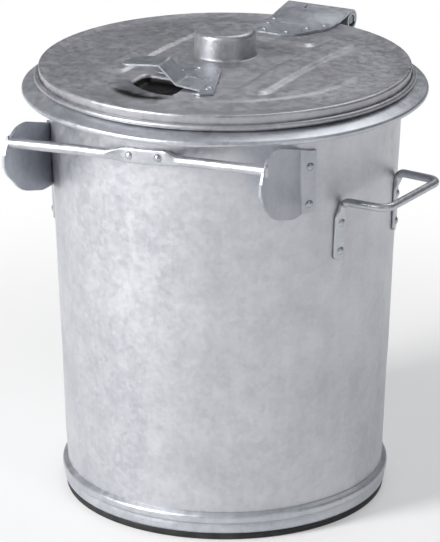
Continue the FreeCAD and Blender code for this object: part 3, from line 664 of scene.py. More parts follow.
@dataclass(frozen=True)
class LidShape:
    """Upper surface of the lid, and what rises from it or sinks into it."""

    hem_radius: float = 187.7
    hem_z: float = 428.5
    hem_bead: float = 2.8
    sheet: float = 1.2
    corner_z: float = 440.3
    corner_round: float = 2.6
    valley_radius: float = 165.0
    valley_z: float = 438.7
    plateau_radius: float = 138.0
    plateau_z: float = 441.3
    boss_base: float = 30.8
    boss_base_z: float = 447.5
    boss_top: float = 29.8
    boss_z: float = 473.0
    boss_round: float = 4.5
    rib_height: float = 2.6
    rib_offset: float = 77.0
    rib_half: float = 15.0
    rib_front: float = -92.0
    rib_back: float = 118.0
    cross_y: float = 81.0
    cross_half: float = 11.0
    well_depth: float = 8.0
    well_centre: tuple[float, float] = (6.0, -68.0)
    well_round: float = 64.0
    well_left: float = -41.0
    well_right: float = 13.0
    well_back: float = -84.0

    @property
    def band_radius(self) -> float:
        """Outside radius of the upright band."""
        return self.hem_radius - 2 * self.hem_bead + self.sheet

    def profile_height(self, r: Array) -> Array:
        """Height of the plain turned surface outside the boss.

        Straight pieces run from the boss over the edge of the raised middle, the valley and up to the crest.

        Args:
            r: Radii.

        Returns:
            Heights.
        """
        crest = self.band_radius - self.corner_round
        knots_r = [0.0, self.boss_base, self.plateau_radius, self.plateau_radius + 3.0,
                   self.valley_radius - 3.0,
                   self.valley_radius + 4.9, crest, crest + 20.0]
        fall = (self.boss_base_z - self.plateau_z) / (self.plateau_radius - self.boss_base)
        knots_z = [self.boss_base_z + fall * self.boss_base, self.boss_base_z, self.plateau_z,
                   self.plateau_z - 0.9, self.valley_z, self.valley_z, self.corner_z, self.corner_z]
        return np.interp(r, knots_r, knots_z)

    @staticmethod
    def _box(x: Array, y: Array, cx: float, cy: float, hx: float, hy: float, corner: float) -> Array:
        """Distance outwards from a rounded rectangle, negative inside."""
        qx, qy = np.abs(x - cx) - hx + corner, np.abs(y - cy) - hy + corner
        outside = np.hypot(np.maximum(qx, 0.0), np.maximum(qy, 0.0))
        return outside + np.minimum(np.maximum(qx, qy), 0.0) - corner

    def relief(self, x: Array, y: Array) -> Array:
        """Height of the ribs minus depth of the finger well.

        Args:
            x: Positions.
            y: Positions.

        Returns:
            Heights above the plain surface.
        """
        middle_y, half_y = (self.rib_front + self.rib_back) / 2, (self.rib_back - self.rib_front) / 2
        reach = self.rib_offset - self.rib_half - 4.0
        ribs = [self._box(x, y, side * self.rib_offset, middle_y, self.rib_half, half_y, 9.0)
                for side in (-1, 1)]
        ribs.append(self._box(x, y, 0.0, self.cross_y, reach, self.cross_half, 9.0))
        height = np.maximum.reduce([smoothstep(1.5, -4.5, d) for d in ribs]) * self.rib_height
        width = (self.well_right - self.well_left) / 2
        inside = np.maximum.reduce([
            self._box(x, y, self.well_left + width, self.well_back - 100.0, width, 100.0, 8.0),
            np.hypot(x - self.well_centre[0], y - self.well_centre[1]) - self.well_round])
        well = smoothstep(1.5, -4.5, inside) * self.well_depth
        dents = waves(7, 26, 22.0, 120.0)(x, y) * 0.28
        fade = smoothstep(172.0, 150.0, np.hypot(x, y)) * smoothstep(31.5, 44.0, np.hypot(x, y))
        return (height - well) * smoothstep(166.0, 158.0, np.hypot(x, y)) + dents * fade

    def height(self, x: Array, y: Array) -> Array:
        """Height of the finished upper surface outside the boss.

        Args:
            x: Positions.
            y: Positions.

        Returns:
            Heights.
        """
        return self.profile_height(np.hypot(x, y)) + self.relief(x, y)


# ---- sub-assemblies --------------------------------------------------------------------------
class Part:
    """Base of the sub-assemblies: gives each finished piece its body, slot and material."""

    body = "body"

    def __init__(self, maker: MeshMaker, finishes: dict[str, bpy.types.Material]) -> None:
        """Keeps the tools that each piece needs.

        Args:
            maker: Maker of the meshes.
            finishes: Materials by slot.
        """
        self.maker = maker
        self.finishes = finishes

    def finish(self, made: bpy.types.Object, slot: str, *nodes: str) -> bpy.types.Object:
        """Gives a piece its material and tells the frame what it is.

        Args:
            made: The piece.
            slot: Material slot of the record.
            nodes: CAD nodes that the piece stands for.

        Returns:
            The piece.
        """
        made.data.materials.append(self.finishes[slot])
        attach(made, self.body)
        if nodes:
            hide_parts(*nodes)
        return made

    def soften(self, made: bpy.types.Object, width: float = 0.45) -> bpy.types.Object:
        """Rounds a sheet's cut edges a little.

        Args:
            made: The piece.
            width: Size of the rounds.

        Returns:
            The piece.
        """
        bevel = made.modifiers.new("soft_edges", "BEVEL")
        bevel.width = width * MM
        bevel.segments = 2
        bevel.limit_method = "ANGLE"
        bevel.angle_limit = math.radians(50.0)
        return made


@dataclass
class Body(Part):
    """Body sheet, collar, foot hoop and rubber ring."""

    maker: MeshMaker
    finishes: dict[str, bpy.types.Material]
    shape: BinShape = field(default_factory=BinShape)
    seam_angle: float = 130.0
    seam_half: float = 3.5
    seam_proud: float = 1.1
    collar_radius: float = 200.0
    collar_bead: float = 3.2
    collar_bead_z: float = 416.4
    collar_slope: float = 21.0
    hoop_crease_z: float = 16.8
    ring_inner: float = 153.5
    ring_outer: float = 161.6
    ring_height: float = 7.0

    def build(self) -> None:
        """Makes every piece of the body."""
        self._wall()
        self._collar()
        self._hoop()
        self._ring()

    def _wall(self) -> None:
        """Makes the tapered wall: two straight sides turned round the axis, with dents and the seam."""
        s = self.shape
        z = np.concatenate([np.linspace(s.bottom_z, 40.0, 14), np.linspace(44.0, 430.0, 110),
                            np.linspace(431.5, s.top_z, 4)])
        outer = np.stack([s.radius(z), z], 1)
        inner = outer[::-1] - (s.sheet, 0.0)
        broad, fine = waves(3, 22, 60.0, 320.0), waves(4, 30, 18.0, 60.0)

        def warp(grid: Array) -> Array:
            """Moves each point outwards by the dents and the seam.

            Args:
                grid: Points of the turned wall.

            Returns:
                The moved points.
            """
            angle = np.arctan2(grid[..., 1], grid[..., 0])
            r = np.hypot(grid[..., 0], grid[..., 1])
            u, v = angle * 170.0, grid[..., 2]
            ease = smoothstep(28.0, 60.0, v) * smoothstep(432.0, 395.0, v)
            # near the back the dents are mixed with their copy from a full turn away, so the two ends meet
            share = smoothstep(0.75 * math.pi, math.pi, np.abs(angle))
            turned = np.where(angle < 0, u + math.tau * 170.0, u - math.tau * 170.0)
            dent = (broad(u, v) * 0.42 + fine(u, v) * 0.07) * (1 - share * 0.5)
            dent += (broad(turned, v) * 0.42 + fine(turned, v) * 0.07) * share * 0.5
            away = np.abs(np.degrees(angle) - self.seam_angle) * math.pi / 180.0 * r
            seam = smoothstep(self.seam_half + 0.8, self.seam_half - 0.8, away) * self.seam_proud
            seam *= smoothstep(30.0, 33.0, v) * smoothstep(424.0, 420.0, v)
            scale = 1.0 + (dent * ease + seam) / r
            grid[..., 0] *= scale
            grid[..., 1] *= scale
            return grid

        shell = self.maker.revolve(np.vstack([outer, inner]), 360, warp)
        self.finish(self.maker.build("body_wall", [shell]), "galvanized_body", "body_shell")

    def _collar(self) -> None:
        """Makes the collar: a fold over the mouth, a slope and a rolled edge, turned round the axis."""
        s = self.shape
        x, z = self.collar_radius - self.collar_bead, self.collar_bead_z
        a = math.radians(90.0 - self.collar_slope)
        start = (x + self.collar_bead * math.cos(a), z + self.collar_bead * math.sin(a))
        turn_r = float(s.radius(425.0)) + 0.1 + s.sheet
        turn_z = start[1] + (start[0] - turn_r) * math.tan(math.radians(self.collar_slope))
        fold = s.sheet / 2 + 0.1
        outside = float(s.radius(s.top_z)) + 0.1
        lip = arc_points((outside - fold, s.top_z), fold + s.sheet, 180.0, -180.0, 9)
        skirt = rounded_path([lip[-1], (turn_r, turn_z), start], [2.4], 8)
        bead = arc_points((x, z), self.collar_bead, 90.0 - self.collar_slope, -300.0, 32)
        outer = np.vstack([[(lip[0, 0] - 0.3, s.top_z - 8.0)], lip, resample(skirt[1:], 4.0), bead[1:]])
        inner = outer - path_normals(outer) * s.sheet
        wobble = waves(11, 12, 0.35, 2.4)

        def warp(grid: Array) -> Array:
            """Lifts and drops the edge a little on its way round.

            Args:
                grid: Points of the turned collar.

            Returns:
                The moved points.
            """
            angle = np.arctan2(grid[..., 1], grid[..., 0])
            r = np.hypot(grid[..., 0], grid[..., 1])
            lift = wobble(np.cos(angle), np.sin(angle)) * 0.45 * smoothstep(178.0, 200.0, r)
            grid[..., 2] += lift
            return grid

        shell = self.maker.revolve(np.vstack([outer, inner[::-1]]), 360, warp)
        self.finish(self.maker.build("collar_sheet", [shell]), "galvanized_hoop", "collar")

    def _hoop(self) -> None:
        """Makes the foot hoop: a straight band and a bulge above a crease, turned round the axis."""
        s = self.shape
        low, crease, high = self.ring_height + 0.1, self.hoop_crease_z, s.base_z
        inner_low, inner_high = s.radius(low) + 0.1, s.radius(high) + 0.1
        band = rounded_path([(inner_low + 2.6, low), (inner_low + 3.8, low + 1.6),
                             (inner_low + 3.7, crease - 3.0), (s.radius(crease) + 3.0, crease)], [1.2, 3.0], 6)
        bulge = rounded_path([(s.radius(crease) + 3.0, crease), (s.radius(crease) + 5.6, crease + 2.4),
                              (s.radius(high) + 5.2, high - 3.2), (inner_high + 0.7, high),
                              (inner_high, high)],
                             [2.6, 3.6, 0.3], 8)
        wall = resample(np.array([(inner_high, high), (inner_low, low)]), 8.0)
        profile = np.vstack([band, bulge[1:], wall[1:]])
        shell = self.maker.revolve(profile, 320)
        self.finish(self.maker.build("hoop_band", [shell]), "galvanized_hoop", "foot_hoop")

    def _ring(self) -> None:
        """Makes the rubber ring: a block with a groove for the body, turned round the axis."""
        s = self.shape
        groove_out = s.radius(s.bottom_z) + 0.1
        groove_in = groove_out - s.sheet - 0.2
        profile = np.array([
            (self.ring_inner, 0.0), (self.ring_outer - 1.0, 0.0), (self.ring_outer - 0.3, 0.3),
            (self.ring_outer, 1.0), (self.ring_outer, self.ring_height - 0.9),
            (self.ring_outer - 0.3, self.ring_height - 0.3), (self.ring_outer - 0.9, self.ring_height),
            (groove_out + 0.1, self.ring_height), (groove_out, s.bottom_z), (groove_in, s.bottom_z),
            (groove_in + 0.1, self.ring_height), (self.ring_inner, self.ring_height)])
        shell = self.maker.revolve(profile, 256)
        self.finish(self.maker.build("rubber_ring", [shell], 35.0), "black_rubber", "foot_ring")


@dataclass
class Lid(Part):
    """Lid sheet with boss, ribs, finger well and wired hem."""

    maker: MeshMaker
    finishes: dict[str, bpy.types.Material]
    shape: LidShape = field(default_factory=LidShape)

    body = "lid"

    def build(self) -> None:
        """Makes the lid sheet."""
        s = self.shape
        boss = rounded_path([(0.0, s.boss_z + 0.5), (s.boss_top, s.boss_z),
                             (s.boss_base, s.boss_base_z + 0.4),
                             (s.boss_base + 8.0, s.profile_height(np.array([s.boss_base + 8.0]))[0])],
                            [s.boss_round, 2.6], 9)
        crest = s.band_radius - s.corner_round
        r = np.concatenate([np.linspace(s.boss_base + 9.0, 158.0, 92), np.linspace(159.0, crest, 24)])
        dome = np.stack([r, s.profile_height(r)], 1)
        kernel = np.hanning(7) / np.hanning(7).sum()
        smooth = np.convolve(np.pad(dome[:, 1], 3, mode="edge"), kernel, mode="valid")
        dome[3:-3, 1] = smooth[3:-3]
        corner = arc_points((crest, s.corner_z - s.corner_round), s.corner_round, 90.0, -90.0, 8)
        x, z = s.hem_radius - s.hem_bead, s.hem_z
        turn = math.degrees(math.acos((s.band_radius - x) / s.hem_bead)) if s.band_radius > x else 150.0
        bead = arc_points((x, z), s.hem_bead, turn, -(turn + 150.0), 30)
        band = resample(np.array([corner[-1], bead[0]]), 2.0)
        outer = np.vstack([resample(boss, 3.0), dome, corner[1:], band[1:], bead[1:]])
        inner = outer - path_normals(outer) * s.sheet
        inner[0] = (0.0, outer[0, 1] - s.sheet)
        inner[:, 0] = np.maximum(inner[:, 0], 0.0)
        wobble = waves(13, 12, 0.35, 2.2)

        def warp(grid: Array) -> Array:
            """Adds ribs, well and dents to the top, and waves to the edge.

            Args:
                grid: Points of the turned lid.

            Returns:
                The moved points.
            """
            x, y = grid[..., 0], grid[..., 1]
            r = np.hypot(x, y)
            lift = np.where(grid[..., 2] > 434.0, s.relief(x, y), 0.0) * smoothstep(31.0, 33.0, r)
            edge = wobble(x / np.maximum(r, 1.0), y / np.maximum(r, 1.0)) * 0.3 * smoothstep(176.0, 183.0, r)
            grid[..., 2] += lift + edge
            return grid

        shell = self.maker.revolve(np.vstack([outer, inner[::-1]]), 300, warp)
        self.finish(self.maker.build("lid_sheet", [shell]), "galvanized_lid", "lid_shell")


@dataclass
class LidGrip(Part):
    """Heavier strip on the lid, bent up into a tongue over the finger well."""

    maker: MeshMaker
    finishes: dict[str, bpy.types.Material]
    lid: LidShape = field(default_factory=LidShape)
    sheet: float = 1.8
    foot: tuple[float, float] = (10.0, -116.0)
    depth: float = 31.0
    flare: float = 24.0
    flare_rise: float = 3.0
    run: float = 18.0
    rise: float = 20.5
    length: float = 58.0
    droop: float = 4.0
    turn: float = 8.0

    body = "lid"

    def build(self) -> None:
        """Makes the base plate and the tongue as one piece."""
        made = self.maker.build("grip_strip", [self._tongue(), self._plate()])
        self.finish(self.soften(made), "galvanized_grip", "lid_grip")

    def _tongue(self) -> tuple[Array, Array]:
        """Tongue: a bent strip with rounded end corners and a little dish across.

        Returns:
            Points and faces of the shell.
        """
        d = math.radians(self.droop)
        end = self.length - self.run
        top = (self.run, self.rise)
        path = rounded_path([(-self.flare - 8.0, 0.0), (-self.flare, 0.0), (0.0, self.flare_rise), top,
                             (top[0] + end * math.cos(d), top[1] - end * math.sin(d))], [12.0, 6.0, 4.0], 9)
        path = resample(path, 2.0)
        s = path[:, 0]
        left = self.length - s
        front = 9.0 - np.sqrt(np.maximum(81.0 - np.maximum(9.0 - left, 0.0) ** 2, 0.0))
        back = self.depth - 13.0 + np.sqrt(np.maximum(169.0 - np.maximum(13.0 - left, 0.0) ** 2, 0.0))
        share = np.linspace(0.0, 1.0, 14)
        y = front[:, None] + (back - front)[:, None] * share
        x = np.repeat(s[:, None], 14, 1)
        z = np.repeat(path[:, 1:], 14, 1)
        # a little dish across the tongue
        z = z - 0.9 * np.sin(math.pi * share) * smoothstep(4.0, 26.0, x)
        a = math.radians(self.turn)
        px, py = -x, y
        grid = np.empty((*x.shape, 3))
        grid[..., 0] = self.foot[0] + px * math.cos(a) - py * math.sin(a)
        grid[..., 1] = self.foot[1] + px * math.sin(a) + py * math.cos(a)
        middle = math.hypot(self.foot[0] + self.flare, self.foot[1] + self.depth / 2)
        base = self.lid.profile_height(np.array([middle]))
        lid_z = self.lid.profile_height(np.hypot(grid[..., 0], grid[..., 1])) + 0.2
        follow = smoothstep(-14.0, -self.flare, x)
        grid[..., 2] = (base + 0.1 + z) * (1 - follow) + (lid_z + z) * follow + self.sheet
        return self.maker.sheet(grid, self.sheet, (0.0, 0.0, 1.0))

    def _plate(self) -> tuple[Array, Array]:
        """Base plate: rows between a left and a right outline, laid on the lid.

        Returns:
            Points and faces of the shell.
        """
        rows = np.linspace(-128.0, -49.5, 40)
        outline_y = [-128.0, -121.0, -114.0, -86.0, -60.0, -52.0, -49.5]
        right = np.interp(rows, outline_y, [43.0, 49.0, 49.3, 38.0, 27.5, 24.0, 19.0])
        left_y = [-128.0, -88.0, -84.0, -82.0, -66.0, -56.0, -51.5, -49.5]
        left = np.interp(rows, left_y, [34.5, 34.0, 20.0, -30.5, -31.0, -25.0, -20.0, 8.0])
        cx, cy = self.lid.well_centre
        reach = 63.0 ** 2 - (rows - cy) ** 2
        right = np.where(rows < cy, np.minimum(right, cx + np.sqrt(np.maximum(reach, 0.0))), right)
        keep = right > left + 1.0
        rows, left, right = rows[keep], left[keep], right[keep]
        share = np.linspace(0.0, 1.0, 22)
        grid = np.empty((len(rows), len(share), 3))
        grid[..., 0] = left[:, None] + (right - left)[:, None] * share
        grid[..., 1] = rows[:, None]
        lid_z = self.lid.profile_height(np.hypot(grid[..., 0], grid[..., 1]))
        bulge = np.exp(-(np.hypot(grid[..., 0] + 6.0, grid[..., 1] + 78.0) / 11.0) ** 2) * 1.6
        grid[..., 2] = lid_z + 0.3 + self.sheet + bulge
        return self.maker.sheet(grid, self.sheet, (0.0, 0.0, 1.0))


@dataclass
class FrontBar(Part):
    """Lifting bar: round rod, hammered flat in the middle, with buttons outside the ears."""

    maker: MeshMaker
    finishes: dict[str, bpy.types.Material]
    shape: BinShape = field(default_factory=BinShape)
    radius: float = 5.0
    z: float = 392.0
    half_length: float = 138.5
    skew: float = 7.0
    y: float = 178.6
    flat_shift: float = 8.0
    flat_length: float = 40.0
    flat_height: float = 15.0
    flat_thickness: float = 4.0
    taper: float = 20.0
    ear_sheet: float = 2.5
    button_height: float = 14.0
    button_width: float = 7.0
    button_thickness: float = 1.8

    def build(self) -> None:
        """Makes the bar."""
        end = self.half_length + self.ear_sheet / 2
        near = np.abs(np.linspace(-end, end, 120) - self.flat_shift)
        x = np.linspace(-end, end, 120)
        flat_half, spread = self.flat_length / 2, self.flat_length / 2 + self.taper
        flat = smoothstep(spread, flat_half - 3.0, near)
        layer = self.shape.radius(self.z) + 0.1 + self.flat_thickness / 2
        on_body = np.sqrt(np.maximum(layer ** 2 - x ** 2, 0.0))
        y = -(self.y * (1 - flat) + on_body * flat)
        bow = np.interp(x, [-end, -60.0, 0.0, 70.0, end], [0.0, 1.2, 0.0, 1.0, 0.0])
        z = self.z + x / self.half_length * self.skew + bow * 0.6
        deep = self.radius * (1 - flat) + self.flat_thickness / 2 * flat
        tall = self.radius * (1 - flat) + self.flat_height / 2 * flat
        power = 2.0 + 2.2 * flat
        normal_x, normal_y = x * flat / layer, y / layer * flat - (1 - flat)
        side = np.stack([normal_x, normal_y, np.zeros_like(x)], 1)
        side /= np.linalg.norm(side, axis=1, keepdims=True)
        path = np.stack([x, y, z], 1)
        up = np.tile((0.0, 0.0, 1.0), (len(x), 1))
        shells = [self.maker.sweep(path, side, up, deep, tall, power)]
        for hand in (-1, 1):
            shells.append(self._button(hand, end))
        made = self.maker.build("bar_rod", shells)
        self.finish(made, "galvanized_rod", "front_bar")

    def _button(self, hand: int, end: float) -> tuple[Array, Array]:
        """The bar's end, hammered into an oval button on the ear's outer face.

        Args:
            hand: -1 for the left end, 1 for the right.
            end: Distance of the end from the middle.

        Returns:
            Points and faces of the shell.
        """
        t = np.linspace(0.0, 1.0, 7)
        x = hand * (end - 0.3 + t * (self.button_thickness + 0.4))
        size = np.sqrt(np.clip(1.0 - (t * 0.96) ** 2.6, 0.0, 1.0))
        z = self.z + hand * self.skew
        path = np.stack([x, np.full(7, -self.y), np.full(7, z)], 1)
        side = np.tile((0.0, 1.0, 0.0), (7, 1))
        up = np.tile((0.0, 0.0, 1.0), (7, 1))
        return self.maker.sweep(path, side, up, self.button_width / 2 * size, self.button_height / 2 * size,
                                np.full(7, 2.3))


@dataclass
class Ear(Part):
    """Bent plate that carries one end of the bar."""

    maker: MeshMaker
    finishes: dict[str, bpy.types.Material]
    hand: int
    name: str
    node: str
    shape: BinShape = field(default_factory=BinShape)
    bar: Optional[FrontBar] = None
    sheet: float = 2.5
    edge_y: float = 190.0
    end_angle: float = 57.8
    bend: float = 9.0

    def build(self) -> None:
        """Makes the ear."""
        bar = self.bar
        base = bar.z + self.hand * bar.skew
        outline = self._outline(base)
        path, flange = self._path(base - 25.0)
        y = path[:, 1]
        low, high = self._reach(outline, y)
        share = np.linspace(0.0, 1.0, 40)
        grid = np.empty((len(path), len(share), 3))
        z = low[:, None] + (high - low)[:, None] * (0.5 - 0.5 * np.cos(math.pi * share))
        grid[..., 0] = path[:, :1]
        grid[..., 1] = path[:, 1:]
        grid[..., 2] = z
        # the flange leans with the body's wall and the plate stays upright, with a shallow dish
        lean = (z - (base - 25.0)) * self.shape.slope
        radial = np.hypot(grid[..., 0], grid[..., 1])
        grid[..., 0] += grid[..., 0] / radial * lean * flange[:, None]
        grid[..., 1] += grid[..., 1] / radial * lean * flange[:, None]
        free = 1.0 - flange[:, None]
        curl = smoothstep(-self.edge_y + 16.0, -self.edge_y, grid[..., 1])
        middle = (low + high)[:, None] / 2
        dish = np.cos(np.clip((z - middle) / 34.0, -1.0, 1.0) * math.pi / 2)
        grid[..., 0] += free * (curl * 1.4 - dish * 0.7)
        grid[..., 0] *= self.hand
        first = grid[0, 0] * (1.0, 1.0, 0.0)
        shell = self.maker.sheet(grid, self.sheet, first)
        made = self.maker.build(self.name, [shell])
        self.finish(self.soften(made, 0.6), "galvanized_fitting", self.node)

    def _outline(self, base: float) -> Array:
        """Outline of the plate, seen from the side: a rounded polygon of y and z.

        Args:
            base: Height of the bar's end.

        Returns:
            The outline's points.
        """
        e = self.edge_y
        corners = [(-75.0, base - 63.0), (-75.0, base - 3.0), (-100.0, base - 1.0), (-e + 42.0, base + 13.0),
                   (-e, base + 14.0), (-e + 2.0, base - 28.0), (-e + 30.0, base - 54.0),
                   (-e + 68.0, base - 64.0),
                   (-75.0, base - 63.0)]
        return rounded_path(corners, [6.0, 20.0, 20.0, 30.0, 22.0, 50.0, 30.0], 16)

    @staticmethod
    def _reach(outline: Array, y: Array) -> tuple[Array, Array]:
        """Lowest and highest point of the outline at each y.

        Args:
            outline: The outline's points.
            y: Places along the plate.

        Returns:
            The lowest and the highest z at each place.
        """
        low, high = np.full(len(y), np.inf), np.full(len(y), -np.inf)
        y = np.clip(y, outline[:, 0].min() + 0.6, outline[:, 0].max() - 0.6)
        for a, b in zip(outline, outline[1:]):
            span = b[0] - a[0]
            if abs(span) < 1e-9:
                continue
            t = (y - a[0]) / span
            inside = (t >= -1e-6) & (t <= 1 + 1e-6)
            z = a[1] + t * (b[1] - a[1])
            low = np.where(inside, np.minimum(low, z), low)
            high = np.where(inside, np.maximum(high, z), high)
        return low, high

    def _path(self, z: float) -> tuple[Array, Array]:
        """Plan of the outer face at a height: along the body, round the bend and out to the free edge.

        Args:
            z: The height.

        Returns:
            The plan's points, and 1 on the body falling to 0 on the plate.
        """
        radius = self.shape.radius(z) + 0.2 + self.sheet
        end_x = self.bar.half_length - self.ear_offset()
        low = math.radians(-90.0 + self.end_angle)
        bend = self.bend - self.sheet
        cx = end_x + self.sheet + bend
        cy = -math.sqrt((radius + bend) ** 2 - cx ** 2)
        start = math.atan2(cy, cx)
        wall_angles = np.linspace(low, start, 9)
        wall = np.stack([radius * np.cos(wall_angles), radius * np.sin(wall_angles)], 1)
        first = math.degrees(start) + 180.0
        turn = arc_points((cx, cy), bend, first, 180.0 - first, 10)
        free_y = -self.edge_y + (cy + self.edge_y) * (0.5 + 0.5 * np.cos(np.linspace(0.0, math.pi, 34)))
        free = np.stack([np.full(34, cx - bend), free_y], 1)
        path = np.vstack([wall, turn[1:], free[1:]])
        flange = np.concatenate([np.ones(9), np.linspace(1.0, 0.0, 9), np.zeros(33)])
        return path, flange

    def ear_offset(self) -> float:
        """Half the sheet, from the plate's middle to its inner face."""
        return self.sheet / 2


@dataclass
class SideHandle(Part):
    """Rod handle with two flattened feet."""

    maker: MeshMaker
    finishes: dict[str, bpy.types.Material]
    hand: int
    name: str
    node: str
    shape: BinShape = field(default_factory=BinShape)
    radius: float = 4.0
    z: float = 340.0
    drop: float = 8.0
    turn: float = 3.75
    reach: float = 213.5
    foot_y: float = 53.8
    grip_half: float = 51.5
    corner: float = 12.0
    foot_bend: float = 8.0
    foot_drop: float = 60.0
    foot_width: float = 14.0
    foot_thickness: float = 3.4

    def build(self) -> None:
        """Makes the handle."""
        top = self.z - (self.drop if self.hand < 0 else 0.0)
        low = top - self.foot_drop
        half_flat = self.foot_thickness / 2

        def on_wall(z: float, out: float) -> float:
            """Distance from the axis plane of a point that lies out from the body."""
            return math.sqrt((self.shape.radius(z) + 0.1 + out) ** 2 - self.foot_y ** 2)

        corners = []
        for end in (-1, 1):
            leg = [(on_wall(low, half_flat), end * self.foot_y, low),
                   (on_wall(top - 16.0, half_flat), end * self.foot_y, top - 16.0),
                   (on_wall(top, self.radius), end * self.foot_y, top),
                   (self.reach, end * self.grip_half, top)]
            corners += leg if end < 0 else leg[::-1]
        rounds = [14.0, self.foot_bend, self.corner]
        path = rounded_path(corners, rounds + rounds[::-1], 10)
        path = resample(path, 3.0)
        step = np.gradient(path, axis=0)
        step /= np.linalg.norm(step, axis=1, keepdims=True)
        below = top - path[:, 2]
        flat = smoothstep(6.0, 17.0, below)
        outward = np.stack([path[:, 0], path[:, 1], np.zeros(len(path))], 1)
        outward /= np.linalg.norm(outward, axis=1, keepdims=True)
        upright = np.tile((0.0, 0.0, 1.0), (len(path), 1))
        hint = outward * smoothstep(0.5, 0.9, np.abs(step[:, 2]))[:, None] \
            + upright * smoothstep(0.9, 0.5, np.abs(step[:, 2]))[:, None]
        side = np.cross(step, hint)
        side /= np.linalg.norm(side, axis=1, keepdims=True)
        up = np.cross(side, step)
        tip = np.sqrt(np.clip(1.0 - ((below - self.foot_drop + 5.0) / 5.0).clip(0.0, 0.98) ** 2, 0.0, 1.0))
        wide = (self.radius * (1 - flat) + self.foot_width / 2 * flat) * tip
        thin = self.radius * (1 - flat) + half_flat * flat
        shell = self.maker.sweep(path, side, up, wide, thin, 2.0 + 2.0 * flat, 22)
        points = shell[0]
        a = math.radians(-self.turn if self.hand > 0 else 180.0 + self.turn)
        turned = points.copy()
        turned[:, 0] = points[:, 0] * math.cos(a) - points[:, 1] * math.sin(a)
        turned[:, 1] = points[:, 0] * math.sin(a) + points[:, 1] * math.cos(a)
        made = self.maker.build(self.name, [(turned, shell[1])])
        self.finish(made, "galvanized_rod", self.node)


@dataclass
class HingeLeaf(Part):
    """Lid leaf: a plate with a soft bulge that rolls into two knuckles."""

    maker: MeshMaker
    finishes: dict[str, bpy.types.Material]
    lid: LidShape = field(default_factory=LidShape)
    sheet: float = 2.5
    half_width: float = 37.0
    front_y: float = 94.0
    front_half: float = 23.0
    flare_y: float = 138.0
    lift_y: float = 165.0
    axis_y: float = 206.0
    axis_z: float = 438.0
    pin_radius: float = 5.08
    slit: float = 0.4
    middle_half: float = 12.7
    gap: float = 0.6

    body = "lid"

    @property
    def roll(self) -> float:
        """Outer radius of the rolled knuckles."""
        return self.pin_radius + 2 * self.sheet + self.slit

    def build(self) -> None:
        """Makes the leaf."""
        shells = [self._plate()]
        for hand in (-1, 1):
            shells.append(self._knuckle(hand))
        made = self.maker.build("leaf_sheet", shells)
        self.finish(self.soften(made), "galvanized_fitting", "hinge_leaf")

    def _tangent(self) -> tuple[float, float, float]:
        """Where the plate's upper face meets the roll.

        Returns:
            y, z and the angle round the pin.
        """
        start_z = self.lid.valley_z + 0.1 + self.sheet
        dy, dz = self.axis_y - self.lift_y, start_z - self.axis_z
        angle = math.atan2(dz, -dy) - math.acos(self.roll / math.hypot(dy, dz))
        return self.axis_y + self.roll * math.cos(angle), self.axis_z + self.roll * math.sin(angle), angle

    def _plate(self) -> tuple[Array, Array]:
        """Plate: rows across the leaf that follow the lid, then rise to the roll with a bulge.

        Returns:
            Points and faces of the shell.
        """
        ty, tz, _ = self._tangent()
        rows = np.concatenate([self.front_y + 13.0 * (1 - np.cos(np.linspace(0.0, math.pi / 2, 9))),
                               np.linspace(self.front_y + 16.0, ty - 12.5, 34)])
        rounding = np.sqrt(np.maximum(169.0 - np.maximum(self.front_y + 13.0 - rows, 0.0) ** 2, 0.0)) - 13.0
        half = np.interp(rows, [self.front_y, self.flare_y, self.lift_y + 14.0, self.axis_y],
                         [self.front_half, self.half_width - 2.0, self.half_width, self.half_width])
        kernel = np.hanning(9) / np.hanning(9).sum()
        half = np.convolve(np.pad(half, 4, mode="edge"), kernel, mode="valid") + rounding
        share = np.linspace(-1.0, 1.0, 31)
        grid = np.empty((len(rows), len(share), 3))
        grid[..., 0] = half[:, None] * share
        grid[..., 1] = rows[:, None]
        lid_z = self.lid.profile_height(np.hypot(grid[..., 0], grid[..., 1])) + 0.2 + self.sheet
        ramp = np.interp(rows, [self.lift_y, ty], [self.lid.valley_z + 0.1 + self.sheet, tz])[:, None]
        lift = smoothstep(self.lift_y - 9.0, self.lift_y + 5.0, rows)[:, None]
        z = np.maximum(lid_z, ramp * lift + lid_z * (1 - lift))
        bulge = smoothstep(134.0, 168.0, rows)[:, None] * smoothstep(ty + 4.0, 180.0, rows)[:, None]
        grid[..., 2] = z + bulge * 3.2 * (1 - share ** 2) ** 1.3
        return self.maker.sheet(grid, self.sheet, (0.0, 0.0, 1.0))

    def _knuckle(self, hand: int) -> tuple[Array, Array]:
        """Tab that goes on from the plate and winds round the pin.

        Args:
            hand: -1 for the left knuckle, 1 for the right.

        Returns:
            Points and faces of the shell.
        """
        ty, tz, angle = self._tangent()
        start = self.lift_y + (ty - self.lift_y) * 0.55
        start_z = np.interp(start, [self.lift_y, ty], [self.lid.valley_z + 0.1 + self.sheet, tz])
        turn = np.linspace(0.0, 1.0, 64)
        sweep = math.radians(490.0) * turn
        mid = self.roll - self.sheet - self.slit
        radius = np.where(sweep < math.radians(300.0), self.roll,
                          np.maximum(mid, self.roll - (sweep - math.radians(300.0)) * 4.2))
        coil = np.stack([self.axis_y + radius * np.cos(angle - sweep),
                         self.axis_z + radius * np.sin(angle - sweep)], 1)
        lead = resample(np.array([(start, start_z), (ty, tz)]), 3.0)
        path = np.vstack([lead[:-1], coil])
        inner, outer = self.middle_half + self.gap, self.half_width
        x = hand * np.linspace(inner, outer, 8)
        grid = np.empty((len(path), 8, 3))
        grid[..., 0] = x
        grid[..., 1] = path[:, :1]
        grid[..., 2] = path[:, 1:]
        return self.maker.sheet(grid, self.sheet, (0.0, 0.0, 1.0))


